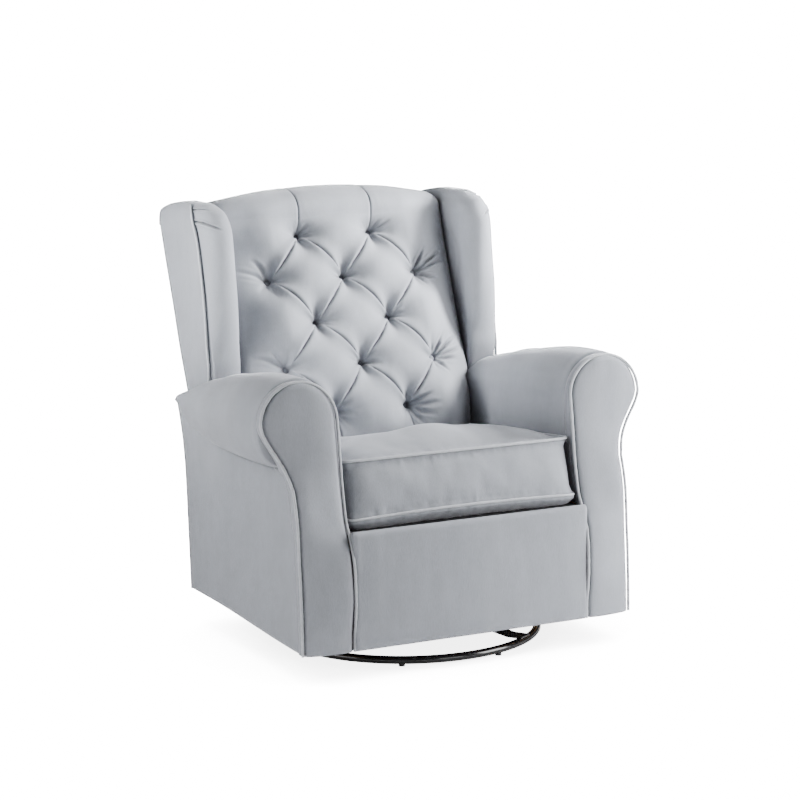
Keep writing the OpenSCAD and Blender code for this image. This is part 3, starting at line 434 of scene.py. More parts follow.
def metal(name, colour, roughness, metallic, coat=0.0, wear=None):
    """Painted or plated steel with fine scratches, dust and bare metal rubbed through on the edges."""
    material, tree, shader = new_material(name)
    scratch = object_noise(tree, 240, 5, 0.7, (1, 1, 0.2))
    dust = object_noise(tree, 22, 5, 0.65)
    tone = blend_colours(tree, dust, linear(scaled(colour, 0.88)), linear(scaled(colour, 1.12, 3)))
    if wear:
        bent = node(tree, "ShaderNodeNewGeometry").outputs["Pointiness"]
        rubbed = maths(tree, "MULTIPLY", ranged(tree, bent, 0.55, 0.7, 0.0, 0.6), dust, True)
        tone = blend_colours(tree, rubbed, tone, linear(wear))
    rough = ranged(tree, scratch, 0.3, 0.7, roughness * 0.75, roughness * 1.35)
    feed(tree, shader, Base_Color=tone, Roughness=rough, Metallic=metallic)
    feed(tree, shader, Coat_Weight=coat, Coat_Roughness=0.08)
    bump(tree, shader, scratch, 0.0002, 0.25)
    return material


def woven(name, a, b, scale, depth):
    """Plain weave of flat yarns in two directions."""
    material, tree, shader = new_material(name)
    coords = node(tree, "ShaderNodeTexCoord").outputs["Object"]
    x, y, z = (
        node(tree, "ShaderNodeTexWave", {"bands_direction": axis}, Vector=coords, Scale=scale, Distortion=0.6)
        for axis in "XYZ"
    )
    crossing = maths(tree, "ADD", x.outputs["Fac"], y.outputs["Fac"])
    weave = maths(tree, "MULTIPLY", crossing, maths(tree, "ADD", z.outputs["Fac"], 0.4))
    soil = object_noise(tree, 12, 4, 0.6)
    tone = blend_colours(tree, maths(tree, "MULTIPLY", weave, 0.5, True), linear(a), linear(b))
    tone = blend_colours(tree, maths(tree, "MULTIPLY", soil, 0.25), tone, linear(scaled(a, 0.8)))
    feed(tree, shader, Base_Color=tone, Roughness=0.9)
    bump(tree, shader, weave, depth, 0.6)
    return material


def moulded(name, colour, roughness):
    material, tree, shader = new_material(name)
    grain = object_noise(tree, 900, 3, 0.6)
    cloud = object_noise(tree, 30, 3, 0.5)
    tone = blend_colours(tree, cloud, linear(scaled(colour, 0.9)), linear(scaled(colour, 1.08)))
    rough = ranged(tree, grain, 0.3, 0.7, roughness * 0.85, roughness * 1.15)
    feed(tree, shader, Base_Color=tone, Roughness=rough)
    bump(tree, shader, grain, 0.0002, 0.3)
    return material


SHADE = (167, 171, 179)
fabric = velvet("velvet_body", SHADE)
fabric_back = velvet("velvet_tufted", (170, 174, 182))
fabric_seat = velvet("velvet_seat", SHADE)
# The piping's fabric is painted lighter than the body's: a painted highlight on the cords.
fabric_welt_painted_highlight = velvet("velvet_welt_painted_highlight", (200, 203, 209), (0.4, 0.4, 0.4), 0.8)
timber = wood("timber_pale", (196, 160, 116), (148, 108, 70))
base_steel = metal("steel_black_gloss", (17, 17, 19), 0.2, 0.25, 0.9, (120, 120, 122))
bright_steel = metal("steel_zinc", (176, 178, 182), 0.34, 1.0)
spring_steel = metal("steel_spring", (92, 94, 98), 0.4, 1.0)
dark_steel = metal("steel_painted", (30, 30, 33), 0.42, 0.3, 0.2, (128, 128, 130))
deck = woven("deck_cloth_weave", (58, 58, 60), (74, 74, 76), 160, 0.0006)
webbing = woven("webbing_weave", (64, 60, 56), (96, 90, 82), 90, 0.0009)
nylon = moulded("nylon_moulded", (44, 44, 46), 0.45)
nylon_pale = moulded("nylon_pale", (196, 194, 186), 0.4)

CAD_LOOKS = {
    base_steel: ["base_ring", "base_cross"],
    nylon: ["base_feet"],
    bright_steel: [
        "bearing_lower_race", "bearing_upper_race", "bearing_balls", "king_bolt", "king_nut", "plate_bolts",
        "plate_nuts", "upper_pivot_pins", "lower_pivot_pins", "upper_spacers", "rail_screws",
    ],
    dark_steel: [
        "swivel_plate", "carriage_cross_tubes", "carriage_side_tubes", "hanger_posts", "front_links",
        "rear_links", "glide_rail_left", "glide_rail_right",
    ],
    nylon_pale: ["bearing_cage", "front_link_bushes", "rear_link_bushes", "spring_clips"],
    spring_steel: ["seat_springs"],
    deck: ["seat_deck"],
    webbing: ["back_webbing"],
    timber: [
        "seat_front_rail", "seat_rear_rail", "seat_side_rails", "corner_blocks", "front_base_rail",
        "rear_base_rail", "arm_base_rails", "arm_stumps", "arm_top_rails", "arm_rear_posts", "back_posts",
        "back_rails", "wing_boards",
    ],
}
for look, names in CAD_LOOKS.items():
    for name in names:
        for slot in nodes[name].material_slots:
            slot.material = look

# Sizes shared with the solids
SEAT_HALF, BODY_HALF, WING_HALF = 283.0, 398.0, 368.0
BODY_LOW, BODY_FRONT, BODY_BACK = 66.0, 328.0, 332.0
DECK_Z = 315.5
ROLL_R, ROLL_Z, CROWN_Z, ARM_FALL = 87.0, 551.0, 645.0, 115.0
SEAM_Z, SEAM_RISE, ARM_SET_BACK = 447.0, 69.0, 81.0
ROLL_X = SEAT_HALF + ROLL_R
ROLL_FLARE = ROLL_X + ROLL_R - BODY_HALF
ARM_TOP = ROLL_Z + ROLL_R
BACK_LEAN, BACK_EDGE_Z, BACK_TOP_Z = 209.0, 907.0, 989.0
BACK_DEPTH = 5 + 40 + 2.6 + 0.9
TUFT_DEPTH, PITCH, ROW, ROW_Z = 60.0, 186.0, 96.0, 485.0
WING_TOP, WING_FRONT, WING_SET_BACK = 968.0, 249.0, 134.0
WING_LOW = 524.0
CROWN_LOW_Y, CROWN_TOP_Y, CROWN_TOP_Z = 127.0, 347.0, 925.0
CUSHION_REAR = 122.0
PANEL = 4.9

lean = table(
    [
        (0, 0), (0.2, 0.038), (0.34, 0.067), (0.43, 0.125), (0.48, 0.185), (0.53, 0.265), (0.58, 0.35),
        (0.67, 0.505), (0.78, 0.665), (0.91, 0.868), (1, 1),
    ]
)


def back_y(z):
    return BODY_BACK + BACK_LEAN * lean((np.asarray(z, float) - BODY_LOW) / (BACK_EDGE_Z - BODY_LOW))


# Tufted inside back
def crown_y(z):
    rise = np.asarray(z, float) - ROW_Z
    soft = 26.0
    smooth = (rise + np.sqrt(rise**2 + soft**2)) / 2
    start = (CROWN_TOP_Z - ROW_Z + math.hypot(CROWN_TOP_Z - ROW_Z, soft)) / 2
    return CROWN_LOW_Y + (CROWN_TOP_Y - CROWN_LOW_Y) * smooth / start


edge_shares = table([(0, 1), (0.25, 0.92), (0.6, 0.7), (0.83, 0.5), (1, 0.3)])
BUTTONS = [
    (k * PITCH, ROW_Z + row * ROW)
    for row in range(5)
    for k in ((-0.5, 0.5) if row % 2 == 0 else (-1, 0, 1))
]
# Wrinkles of the tufted back in X and Z: start, end, depth, width
BACK_FOLDS = [
    (188, 777, 222, 822, 6.0, 3.4), (190, 775, 262, 806, 7.0, 3.6), (192, 772, 270, 782, 6.5, 3.4),
    (189, 769, 246, 742, 5.5, 3.6), (188, 766, 214, 728, 2.6, 3.4),
    (188, 584, 226, 624, 4.6, 3.6), (190, 583, 262, 606, 6.5, 3.6), (192, 580, 272, 578, 6.5, 3.4),
    (189, 577, 258, 552, 5.5, 3.6), (188, 574, 222, 530, 3.6, 3.6),
    (-190, 774, -268, 783, 3.0, 4.2), (-190, 771, -258, 768, 2.4, 4.0), (-188, 778, -232, 812, 3.0, 4.4),
    (-188, 767, -226, 736, 3.0, 4.4), (-190, 582, -264, 590, 3.2, 4.4), (-188, 577, -238, 548, 3.0, 4.6),
    (-188, 586, -226, 616, 2.4, 4.4), (96, 872, 122, 892, 3.6, 3.2), (98, 870, 146, 888, 4.2, 3.2),
    (-90, 872, -66, 888, 2.6, 3.4), (98, 866, 128, 862, 2.0, 3.6), (-90, 866, -62, 858, 2.2, 4.0),
    (96, 487, 158, 504, 4.4, 3.2), (97, 484, 172, 482, 4.4, 3.2), (96, 482, 156, 462, 4.0, 3.4),
    (95, 489, 138, 524, 3.4, 3.4), (96, 479, 128, 440, 3.2, 3.4), (-90, 486, -52, 500, 2.6, 3.6),
    (-90, 483, -48, 476, 2.8, 3.6), (-96, 485, -146, 493, 2.8, 4.0), (96, 680, 126, 702, 2.6, 3.4),
    (97, 676, 134, 676, 2.2, 3.4), (-90, 680, -62, 700, 2.2, 3.6), (4, 776, 30, 798, 2.6, 3.4),
    (4, 771, 40, 770, 2.0, 3.4), (4, 584, 34, 600, 2.8, 3.4), (4, 579, 44, 574, 2.6, 3.4),
]


def crease(d):
    """A lapped fold: a crisp line, the side towards +d tucked under the other."""
    line = 5.6 * np.exp(-((np.abs(d) / 2.1) ** 1.4))
    return line + np.where(d > 0, 3.4 * np.exp(-d / 13), -1.6 * np.exp(d / 15))


def pleats(x):
    """The two upright folds that run from the outer rows of buttons over the top and down to the seat."""
    return sum(crease(x - line) * (np.abs(x - line) < 70) for line in (PITCH / 2, -PITCH / 2))


def tufted(x, z):
    """How far the cover lies behind its crown line, over the buttoned field."""
    inside = 1 - ease((np.abs(x) - PITCH) / 5)
    top_z = ROW_Z + 4 * ROW
    inside = inside * (1 - ease((z - top_z) / 5)) * (1 - ease((ROW_Z - z) / 5))
    xs = clip(x, -PITCH, PITCH) / PITCH
    zs = clip(z - ROW_Z, 0, 4 * ROW) / (2 * ROW)
    u, v = xs + 0.5 + zs, xs + 0.5 - zs
    du, dv = u - np.round(u), v - np.round(v)
    su, sv = np.abs(np.sin(np.pi * u)), np.abs(np.sin(np.pi * v))
    near = np.full(np.broadcast(x, z).shape, 1e9)
    for bx, bz in BUTTONS:
        near = np.minimum(near, np.hypot((x - bx) * 2 * ROW / PITCH, z - bz))
    round_rise = np.sin(np.pi * np.minimum(near, ROW) / (2 * ROW))
    middle = 2 * su * sv / np.maximum(su**2 + sv**2, 1e-9)
    span = np.sqrt((su**2 + sv**2) / (1 + middle**2))
    within = (0.85 + 0.15 * middle**0.6) * span ** (0.42 + 0.28 * middle)
    height = mix(round_rise**0.7, within, inside)
    pit = clip((near - 5) / 22, 0, 1) ** 0.6
    soft = 0.04
    height = (height + pit - np.sqrt((height - pit) ** 2 + soft**2)) / 2 + soft * 0.3
    away = ease((near - 10) / 14)
    line = inside * ((sv * away) ** 0.5 * crease(du * 133) + (su * away) ** 0.5 * crease(dv * 133))
    up_fold = ease((z - top_z - 2) / 10) + ease((ROW_Z - z - 3) / 14)
    side = 1 - 0.5 * ease((np.abs(x) - 205) / 75)
    top = 1 - 0.6 * ease((z - top_z - 4) / 28) * np.ones_like(x)
    low = 1 - 0.35 * ease((ROW_Z - z) / 90)
    return side * top * low * ((TUFT_DEPTH + 7) * (1 - height) - 5) + side * line + up_fold * pleats(x)


def puckers(x, z):
    """Fine gathers that radiate from each button."""
    out = np.zeros(np.broadcast(x, z).shape)
    for i, (bx, bz) in enumerate(BUTTONS):
        dx, dz = x - bx, (z - bz) * 1.1
        r = np.hypot(dx, dz)
        a = np.arctan2(dz, dx)
        wave = np.cos(9 * a + 2.4 * i + 0.02 * r) + 0.7 * np.cos(15 * a + 1.7 * i)
        uneven = 0.7 + 0.5 * np.cos(a - 0.4 + 1.3 * i)
        out += wave * uneven * 1.5 * bell(r, 31) * ease((r - 8) / 12)
        out += 3.0 * bell(r, 9)
    return out


def make_back():
    half = SEAT_HALF - 0.5
    round_r = 24.0
    flat_half = half - round_r
    bend = np.linspace(0, np.pi / 2, 13)[1:]
    round_x, round_y = round_r * np.sin(bend), round_r * (1 - np.cos(bend))
    flat = np.linspace(-flat_half, flat_half, 300)
    xs = np.concatenate([-flat_half - round_x[::-1], flat, flat_half + round_x])
    edge_in = np.concatenate([round_y[::-1], np.zeros(len(flat)), round_y])
    low = DECK_Z + 1
    slope_top = (CROWN_TOP_Y - CROWN_LOW_Y) / (CROWN_TOP_Z - ROW_Z)
    front_top = CROWN_TOP_Z - TUFT_DEPTH * slope_top / (1 + slope_top**2)
    front_z = np.concatenate([np.linspace(low, 440, 14)[:-1], np.linspace(440, front_top, 280)])
    arch = 32 * (np.abs(xs) / SEAT_HALF) ** 2.4
    beside = ease((np.abs(xs) / SEAT_HALF - 0.6) / 0.4)
    rows = []
    for z in front_z:
        zz = np.full(len(xs), z)
        set_back = 75 * edge_shares(clip((z - ROW_Z) / (front_top - ROW_Z), 0, 1)) * beside
        # The cover rises square to the plane of the buttons, so its folds arch upwards
        slope = (crown_y(zz + 1) - crown_y(zz - 1)) / 2
        fade = 1 - ease((z - 880) / 16)
        depth = tufted(xs, zz) + (puckers(xs, zz) + 1.35 * folds(xs, zz, BACK_FOLDS)) * fade
        rise = (TUFT_DEPTH - depth) / (1 + slope**2)
        rows.append(at(xs, crown_y(zz) + TUFT_DEPTH - rise + set_back + edge_in, zz + rise * slope))
    # Rolled top: a smooth curve from the front surface over the crest to the rear seam
    start, before = rows[-1], rows[-9]
    start_y, start_z = start[:, 1], start[:, 2]
    slope = (start_y - before[:, 1]) / (start_z - before[:, 2])
    top_groove = tufted(xs, np.full(len(xs), front_top)) - pleats(xs)
    top_rise = BACK_TOP_Z - arch - mix(start_z, BACK_EDGE_Z - 1, 0.42)
    end_y = float(back_y(BACK_EDGE_Z)) - 1
    for t in np.linspace(0, 1, 60)[1:]:
        a = np.pi * t
        bulge = np.sin(a) ** 0.72 * top_rise
        y = (start_y + end_y) / 2 - (end_y - start_y) / 2 * np.cos(a)
        y = y + slope * bulge * (1 - t) ** 2 * 0.35
        fold = pleats(xs) * (1 - t) ** 0.6
        groove = top_groove * (1 - t) ** 1.2
        z = mix(start_z, BACK_EDGE_Z - 1, t) + bulge - (groove * 0.35 + fold + edge_in * 0.55) * np.sin(a)
        rows.append(at(xs, y, z))
    surface = np.array(rows)
    wob = noise(surface, (70, 70, 70), 11) * 1.6 + noise(surface, (26, 26, 30), 12) * 0.55
    surface[:, :, 1] += wob * ease((surface[:, :, 2] - 440) / 40)
    # Above the arms the edges reach out to the wings
    outward = 9.0 * ease((np.abs(surface[:, :, 0]) - 215) / 60) * ease((surface[:, :, 2] - 530) / 24)
    surface[:, :, 0] += np.sign(surface[:, :, 0]) * outward
    # The rear, hidden inside the outside back
    rear = [at(xs, float(back_y(z)) - BACK_DEPTH, z) for z in np.linspace(BACK_EDGE_Z - 6, low, 14)]
    surface = np.concatenate([surface, np.array(rear)])
    # Side walls run back to a line inside the frame
    core_z = clip(surface[:, :1, 2], low, 900)
    core = at(surface[:, :1, 0], back_y(core_z) - BACK_DEPTH - 14, core_z)
    shares = (0.92, 0.7, 0.4, 0.15)
    left = [mix(surface[:, :1], core, share) for share in shares]
    right_side = [mix(surface[:, -1:], flipped(core), 1.07 - share) for share in shares]
    grid = np.concatenate(left + [surface] + right_side, axis=1)
    faces = grid_faces(*grid.shape[:2], wrap_rows=True)
    mesh_object("inside_back_tufted", grid.reshape(-1, 3), faces, fabric_back)


def make_buttons():
    lean_angle = math.atan2(CROWN_TOP_Y - CROWN_LOW_Y, CROWN_TOP_Z - ROW_Z)
    out = np.array([0, -math.cos(lean_angle), math.sin(lean_angle)])
    side = np.array([1.0, 0, 0])
    other = np.cross(out, side)
    points, faces, count = [], [], 0
    # Radius and height from the front's middle to the rear's
    profile = [
        (0.0, 4.6), (2.6, 4.45), (5.2, 3.9), (7.6, 2.9), (9.4, 1.5), (10.5, -0.3), (10.8, -2.2), (10.2, -4.0),
        (8.4, -5.0), (0, -5.2),
    ]
    around, rings = 28, len(profile) - 2
    a = 2 * np.pi * np.arange(around) / around
    ray = np.cos(a)[:, None] * side + np.sin(a)[:, None] * other
    for n, (x, z) in enumerate(BUTTONS):
        centre = np.array([x, float(crown_y(z)) + TUFT_DEPTH, z])
        start = count
        for r, h in profile[1:-1]:
            pleat = 0.16 * np.sin(14 * a + n) * ease((r - 5) / 5)
            points.append(centre + (r + pleat)[:, None] * ray + h * out)
            count += around
        faces += [tuple(f) for f in grid_faces(rings, around, wrap_cols=True, start=start)]
        for ring, height in ((0, profile[0][1]), (rings - 1, profile[-1][1])):
            points.append((centre + height * out)[None])
            first = start + ring * around
            faces += [(first + j, first + (j + 1) % around, count) for j in range(around)]
            count += 1
    mesh_object("covered_buttons", np.concatenate(points), faces, fabric_back)


# Arms
in_shares = table(
    [
        (0, 0.12), (0.06, 0.11), (0.13, 0.04), (0.2, 0), (0.27, 0.01), (0.34, 0.07), (0.41, 0.27),
        (0.48, 0.53), (0.55, 0.65), (0.62, 0.74), (0.69, 0.8), (0.76, 0.86), (0.83, 0.93), (0.9, 0.98),
        (1, 1),
    ]
)
out_shares = table(
    [
        (0, 0.27), (0.13, 0.28), (0.2, 0.3), (0.27, 0.32), (0.34, 0.36), (0.41, 0.38), (0.48, 0.42),
        (0.55, 0.52), (0.62, 0.68), (0.69, 0.85), (0.76, 0.94), (0.83, 0.96), (0.9, 0.98), (1, 1),
    ]
)
flare = table(
    [(0, 1), (0.15, 0.95), (0.35, 0.82), (0.6, 0.6), (0.85, 0.38), (1.1, 0.2), (1.35, 0.08), (1.6, 0)]
)
FRONT_PAD = 22
ARM_Y0 = -BODY_FRONT + ARM_SET_BACK + FRONT_PAD


def arm_share(z):
    return (np.asarray(z, float) - BODY_LOW) / (ARM_TOP - BODY_LOW)


def front_y(z, across):
    return -BODY_FRONT + ARM_SET_BACK * mix(in_shares(arm_share(z)), out_shares(arm_share(z)), across)


def scroll_half(z):
    return np.sqrt(np.maximum(ROLL_R**2 - (z - ROLL_Z) ** 2, 0))


def front_x0(z):
    z = np.asarray(z, float)
    return np.where(z > ROLL_Z, ROLL_X - scroll_half(z), SEAT_HALF)


def front_x1(z):
    z = np.asarray(z, float)
    flared = BODY_HALF + ROLL_FLARE * flare((ROLL_Z - z) / ROLL_R)
    return np.where(z > ROLL_Z, ROLL_X + scroll_half(z), flared)


def front_levels(count):
    low = np.linspace(BODY_LOW, ROLL_Z, count)
    a = np.linspace(0, np.pi / 2, count // 2)[1:]
    return np.concatenate([low, ROLL_Z + ROLL_R * np.sin(a) * 0.9995])


def front_back_y(z):
    z = np.asarray(z, float)
    return np.where(z > SEAM_Z, ARM_Y0, np.maximum(front_y(z, 0), front_y(z, 1)) + FRONT_PAD)


def make_arm_front(name, mirrored):
    """Padded scroll front: a low bulge inside a seam that draws it in."""
    loops = []
    s = (1 - np.cos(np.linspace(0, np.pi, 33))) / 2
    for z in front_levels(96):
        x0, x1 = float(front_x0(z)) + 1.0, float(front_x1(z)) - 1.0
        w = max(x1 - x0, 0.6)
        full = min(1.0, w / ROLL_R)
        bulge = 9.0 * full * (1 - np.abs(2 * s - 1) ** 3.2)
        edge = np.minimum(s, 1 - s) * w
        p = at(x0 + w * s, front_y(z, s) - bulge + 7.5 * bell(edge, 5.2), z)
        wrinkle = noise(p, (9, 60, 46), 21) * 0.7 * bell(edge, 16) + noise(p, (48, 60, 90), 22) * 1.3
        p[:, 1] += wrinkle * full
        rear = float(front_back_y(z))
        side1 = [[x1 + 0.7, mix(p[-1, 1], rear, t), z] for t in (0.25, 0.6, 1.0)]
        side0 = [[x0 - 0.7, mix(p[0, 1], rear, t), z] for t in (1.0, 0.6, 0.25)]
        loops.append(np.concatenate([p, side1, side0]))
    loft(name, loops, fabric, mirrored)


crown_fall = table(
    [
        (0, 0), (0.08, 0.01), (0.2, 0.05), (0.3, 0.12), (0.4, 0.21), (0.5, 0.29), (0.6, 0.42), (0.7, 0.53),
        (0.8, 0.67), (0.88, 0.78), (0.95, 0.9), (1, 1),
    ]
)
seam_curve = table(
    [
        (0, 0.17), (0.1, 0.07), (0.2, 0.03), (0.37, 0), (0.52, 0.02), (0.68, 0.15), (0.8, 0.31), (0.9, 0.58),
        (0.96, 0.85), (1, 1),
    ]
)
END_GAP = 5.3
ROLL_Y1 = float(back_y(SEAM_Z + SEAM_RISE)) - END_GAP


def roll_y(s):
    return mix(ARM_Y0 + 0.3, ROLL_Y1, s)


def crown_at(s):
    return CROWN_Z - ARM_FALL * crown_fall(s)


def seam_at(s):
    return SEAM_Z + SEAM_RISE * seam_curve(s)


def roll_section(s, count=40):
    """The rolled arm's section: the curve over it, the tuck under it to the seam, and its middle's height."""
    y = float(roll_y(s))
    zc = float(crown_at(s) + seam_at(s)) / 2
    h = float(crown_at(s) - seam_at(s)) / 2
    h0 = float(crown_at(0) - seam_at(0)) / 2
    x0, x1 = SEAT_HALF, BODY_HALF + ROLL_FLARE * h / h0
    a = np.linspace(0, np.pi, count)
    over = at((x0 + x1) / 2 - (x1 - x0) / 2 * np.cos(a), y, zc + h * np.sin(a))
    b = np.linspace(0, np.pi / 2, 16)[1:]
    under = at(BODY_HALF + (x1 - BODY_HALF) * np.cos(b), y, zc - h * np.sin(b))
    return over, under, zc


def make_arm_cover(name, mirrored):
    """Inside arm, roll and outer face as the one cloth that wraps them."""
    loops = []
    low = DECK_Z + 0.5
    ends = np.linspace(0, 0.03, 5)[:-1], np.linspace(0.97, 1, 8)[1:]
    for s in np.concatenate([ends[0], np.linspace(0.03, 0.97, 88), ends[1]]):
        over, under, zc = roll_section(s)
        y = over[0, 1]
        inner = at(SEAT_HALF, y, np.linspace(low, zc, 34)[:-1])
        skin = np.concatenate([inner, over, under])
        # Ends draw in where the cover is pulled round them
        front = 2.6 * bell(s * 460, 5.0)
        rear = 13 * (1 - math.sqrt(max(0.0, 1 - max(0.0, (s - 0.965) / 0.035) ** 2)))
        pull = np.zeros(len(skin))
        pull[len(inner) :] = front + rear
        away = skin - np.array([(SEAT_HALF + BODY_HALF) / 2, y, zc])
        away /= np.maximum(np.linalg.norm(away, axis=1), 1)[:, None]
        # Gathers under the seams and a lazy fold where arm meets back
        gather = noise(skin, (40, 13, 60), 31) * 1.1 * (bell(s, 0.06) + 0.8 * bell(1 - s, 0.1))
        slack = noise(skin, (80, 110, 80), 32) * 1.8 + noise(skin, (28, 40, 28), 33) * 0.35
        lift = gather + slack - pull
        lift[: len(inner)] = np.minimum(lift[: len(inner)], 0.2) * 0.5
        skin = skin + away * lift[:, None]
        # Hidden way back from the seam to the foot of the inner face
        start_z = skin[-1, 2] + 1.0
        tail_z = np.concatenate([[start_z], np.linspace(start_z, low, 20)])
        tail_x = np.where(np.arange(21) == 0, BODY_HALF - 6, SEAT_HALF + 21)
        loop = np.concatenate([skin, at(tail_x, y, tail_z)])
        # Under the scroll the inner face runs on to the arm's front
        near_front = clip((-100 - loop[:, 1]) / (-100 - ARM_Y0), 0, 1)
        forward = np.minimum(front_back_y(loop[:, 2]) - 6 - ARM_Y0, 0)
        loop[:, 1] += near_front * forward * (loop[:, 2] < SEAM_Z)
        # Below the roll's rear end the back leans in, and the cover ends inside it
        share = clip((loop[:, 1] - 150) / (ROLL_Y1 - 150), 0, 1)
        end_y = back_y(loop[:, 2]) - END_GAP
        straight_y = 351 + 0.3 * (loop[:, 2] - 430)
        end_y = np.where(loop[:, 0] < SEAT_HALF + 40, np.minimum(end_y, straight_y), end_y)
        loop[:, 1] += share * np.minimum(end_y - ROLL_Y1, 0)
        loops.append(loop)
    loft(name, loops, fabric, mirrored)


def make_outside_arm(name, mirrored):
    """Flat outer panel, drawn tight over the frame, with soft edges."""
    s, t = np.linspace(0, 1, 110), np.linspace(0, 1, 90)[:, None]
    z = mix(BODY_LOW + 12 * ease(s * 1.2), seam_at(s) - 0.5, t)
    face = at(BODY_HALF, mix(front_back_y(z) - 4, back_y(z) - 5.2, s), z)
    depth = edge_distance(face, 1)
    face[:, :, 0] -= 4.2 * bell(np.maximum(depth, 0), 3.0)
    slack = noise(face, (90, 150, 120), 41) * 1.5 + noise(face, (30, 46, 40), 42) * 0.35
    pull = noise(face, (9, 15, 60), 43) * 0.7 * bell(face[-1:, :, 2] - face[:, :, 2], 22)
    face[:, :, 0] += (slack + pull) * ease(depth / 18)
    inner = face.copy()
    inner[:, :, 0] = BODY_HALF - PANEL
    shell(name, face, inner, mirrored)


# Wings
wing_front_curve = table(
    [
        (0, 0), (0.18, 0), (0.27, 0.04), (0.36, 0.067), (0.45, 0.097), (0.54, 0.134), (0.63, 0.197),
        (0.71, 0.26), (0.8, 0.34), (0.87, 0.44), (0.915, 0.556), (0.96, 0.7), (1, 0.92),
    ]
)
wing_swell_curve = table(
    [(0, 0.2), (0.2, 0.4), (0.4, 0.85), (0.6, 1.1), (0.77, 1.4), (0.88, 1.7), (0.95, 1.8), (1, 1.3)]
)
WING_BOARD_TOP = BACK_EDGE_Z - 2


def wing_share(z):
    return (np.asarray(z, float) - WING_LOW) / (WING_TOP - WING_LOW)


def wing_y(z):
    return WING_FRONT + WING_SET_BACK * wing_front_curve(wing_share(z))


wing_cap = table([(0, 0), (0.5, 0.02), (0.83, 0.42), (1, 1)])


def wing_rear(z):
    z = np.asarray(z, float)
    capped = mix(float(back_y(BACK_EDGE_Z)), 434.0, wing_cap((z - BACK_EDGE_Z) / (WING_TOP - BACK_EDGE_Z)))
    return np.where(z < WING_BOARD_TOP, back_y(z) - 1, capped)


def wing_narrow(z):
    start = WING_BOARD_TOP + 0.2 * (WING_TOP - WING_BOARD_TOP)
    t = clip((np.asarray(z, float) - start) / (WING_TOP - start), 0, 1)
    return 26 * (1 - np.sqrt(1 - t * t * 0.9999))


# Darts in the wing's padding: share round the front, height in decimetres, share, height, depth, width
WING_DARTS = [
    (0.0, 9.54, 0.46, 9.54, 8.5, 0.014),
    (0.0, 9.3, 0.24, 9.3, 8.0, 0.018),
    (0.15, 9.3, 0.52, 9.12, 8.5, 0.018),
]


def make_wing(name, mirrored):
    loops = []
    cap = np.sin(np.linspace(0, np.pi / 2, 60)[1:])
    board = np.linspace(WING_LOW + 2, WING_BOARD_TOP, 130)
    a = np.pi * (1 - (1 - np.linspace(0, 1, 76)) ** 1.5)
    lobe = np.sin(a) ** 0.8
    share = 1 - a / np.pi
    for z in np.concatenate([board, mix(WING_BOARD_TOP, WING_TOP, cap)]):
        n = float(wing_narrow(z))
        x0, x1 = SEAT_HALF + 10 + n, WING_HALF - n
        # Up to the frame's top the pad ends inside the outside back
        f, r = float(wing_y(z)), float(wing_rear(z)) - (4.4 if z < WING_BOARD_TOP + 0.01 else 0)
        y = f - 45 * float(wing_swell_curve(wing_share(z))) * lobe
        nose = at((x0 + x1) / 2 - (x1 - x0) / 2 * np.cos(a), y, z)
        dart = folds(share, np.full(len(a), z * 0.01), WING_DARTS)
        nose[:, 0] -= 6.0 * bell(f - y - 4, 5.0) * (share < 0.3)
        wrinkle = noise(nose, (30, 30, 16), 51) * 0.9 * bell(share, 0.25)
        wrinkle += noise(nose, (60, 60, 90), 52) * 1.4
        nose[:, 0] += dart * np.cos(a)
        nose[:, 1] += (dart + wrinkle) * np.sin(a)
        inner_y = np.linspace(r, f, 30)[:-1]
        hollow = 5.0 * bell(inner_y - f - 34, 26) * ease((900 - z) / 60)
        outer_y = np.linspace(f, r, 22)[1:]
        outer = at(x1, outer_y, z)
        if z < WING_BOARD_TOP:
            outer[:, 0] -= 18.5 * ease((outer_y - f - 3) / 9)
        loops.append(np.concatenate([at(x0 + hollow, inner_y, z), nose, outer]))
    loft(name, loops, fabric, mirrored)


def make_outside_wing(name, mirrored):
    rows = []
    turn = np.linspace(0, np.pi / 2, 26)[1:]
    for z in np.concatenate([np.linspace(WING_LOW + 1, 900, 70), 900 + 62 * np.sin(turn)]):
        proud = 0.9 * ease((z - 888) / 14)
        y = np.linspace(float(wing_y(z)) + 3, float(wing_rear(z)) - 4.2, 60)
        rows.append(at(WING_HALF + proud - float(wing_narrow(z)), y, z))
    face = np.array(rows)
    inner = face.copy()
    inner[:, :, 0] -= PANEL
    depth = edge_distance(face, 1, foot=False)
    face[:, :, 0] -= 4.4 * bell(np.maximum(depth, 0), 4.5)
    slack = noise(face, (90, 120, 120), 61) * 1.2 + noise(face, (30, 36, 40), 62) * 0.35
    pull = noise(face, (9, 60, 12), 63) * bell(face[:, :, 1] - face[:, :1, 1], 24)
    pull = pull * mix(2.4, 0.8, ease((face[:, :, 2] - 620) / 130))
    face[:, :, 0] += (slack * (1 - ease((face[:, :, 2] - 880) / 20)) + pull) * ease(depth / 16)
    shell(name, face, inner, mirrored)


def make_outside_back():
    z = np.linspace(BODY_LOW + 12, WING_BOARD_TOP - 0.5, 120)[:, None]
    half = mix(BODY_HALF, WING_HALF, ease((z - SEAM_Z - SEAM_RISE + 5) / 14)) - 0.3
    face = at(half * np.linspace(-1, 1, 130), back_y(z), z)
    depth = edge_distance(face, 0)
    face[:, :, 1] -= 4.4 * bell(np.maximum(depth, 0), 3.2)
    slack = noise(face, (170, 100, 150), 71) * 1.8 + noise(face, (40, 60, 46), 72) * 0.4
    pull = noise(face, (60, 9, 14), 73) * 0.7 * bell(depth, 20)
    pull += noise(face, (14, 9, 60), 74) * 0.6 * bell(depth, 22)
    face[:, :, 1] += (slack + pull - 1.4) * ease(depth / 16)
    inner = face.copy()
    inner[:, :, 1] = back_y(face[:, :, 2]) - PANEL
    shell("outside_back_cover", face, inner)


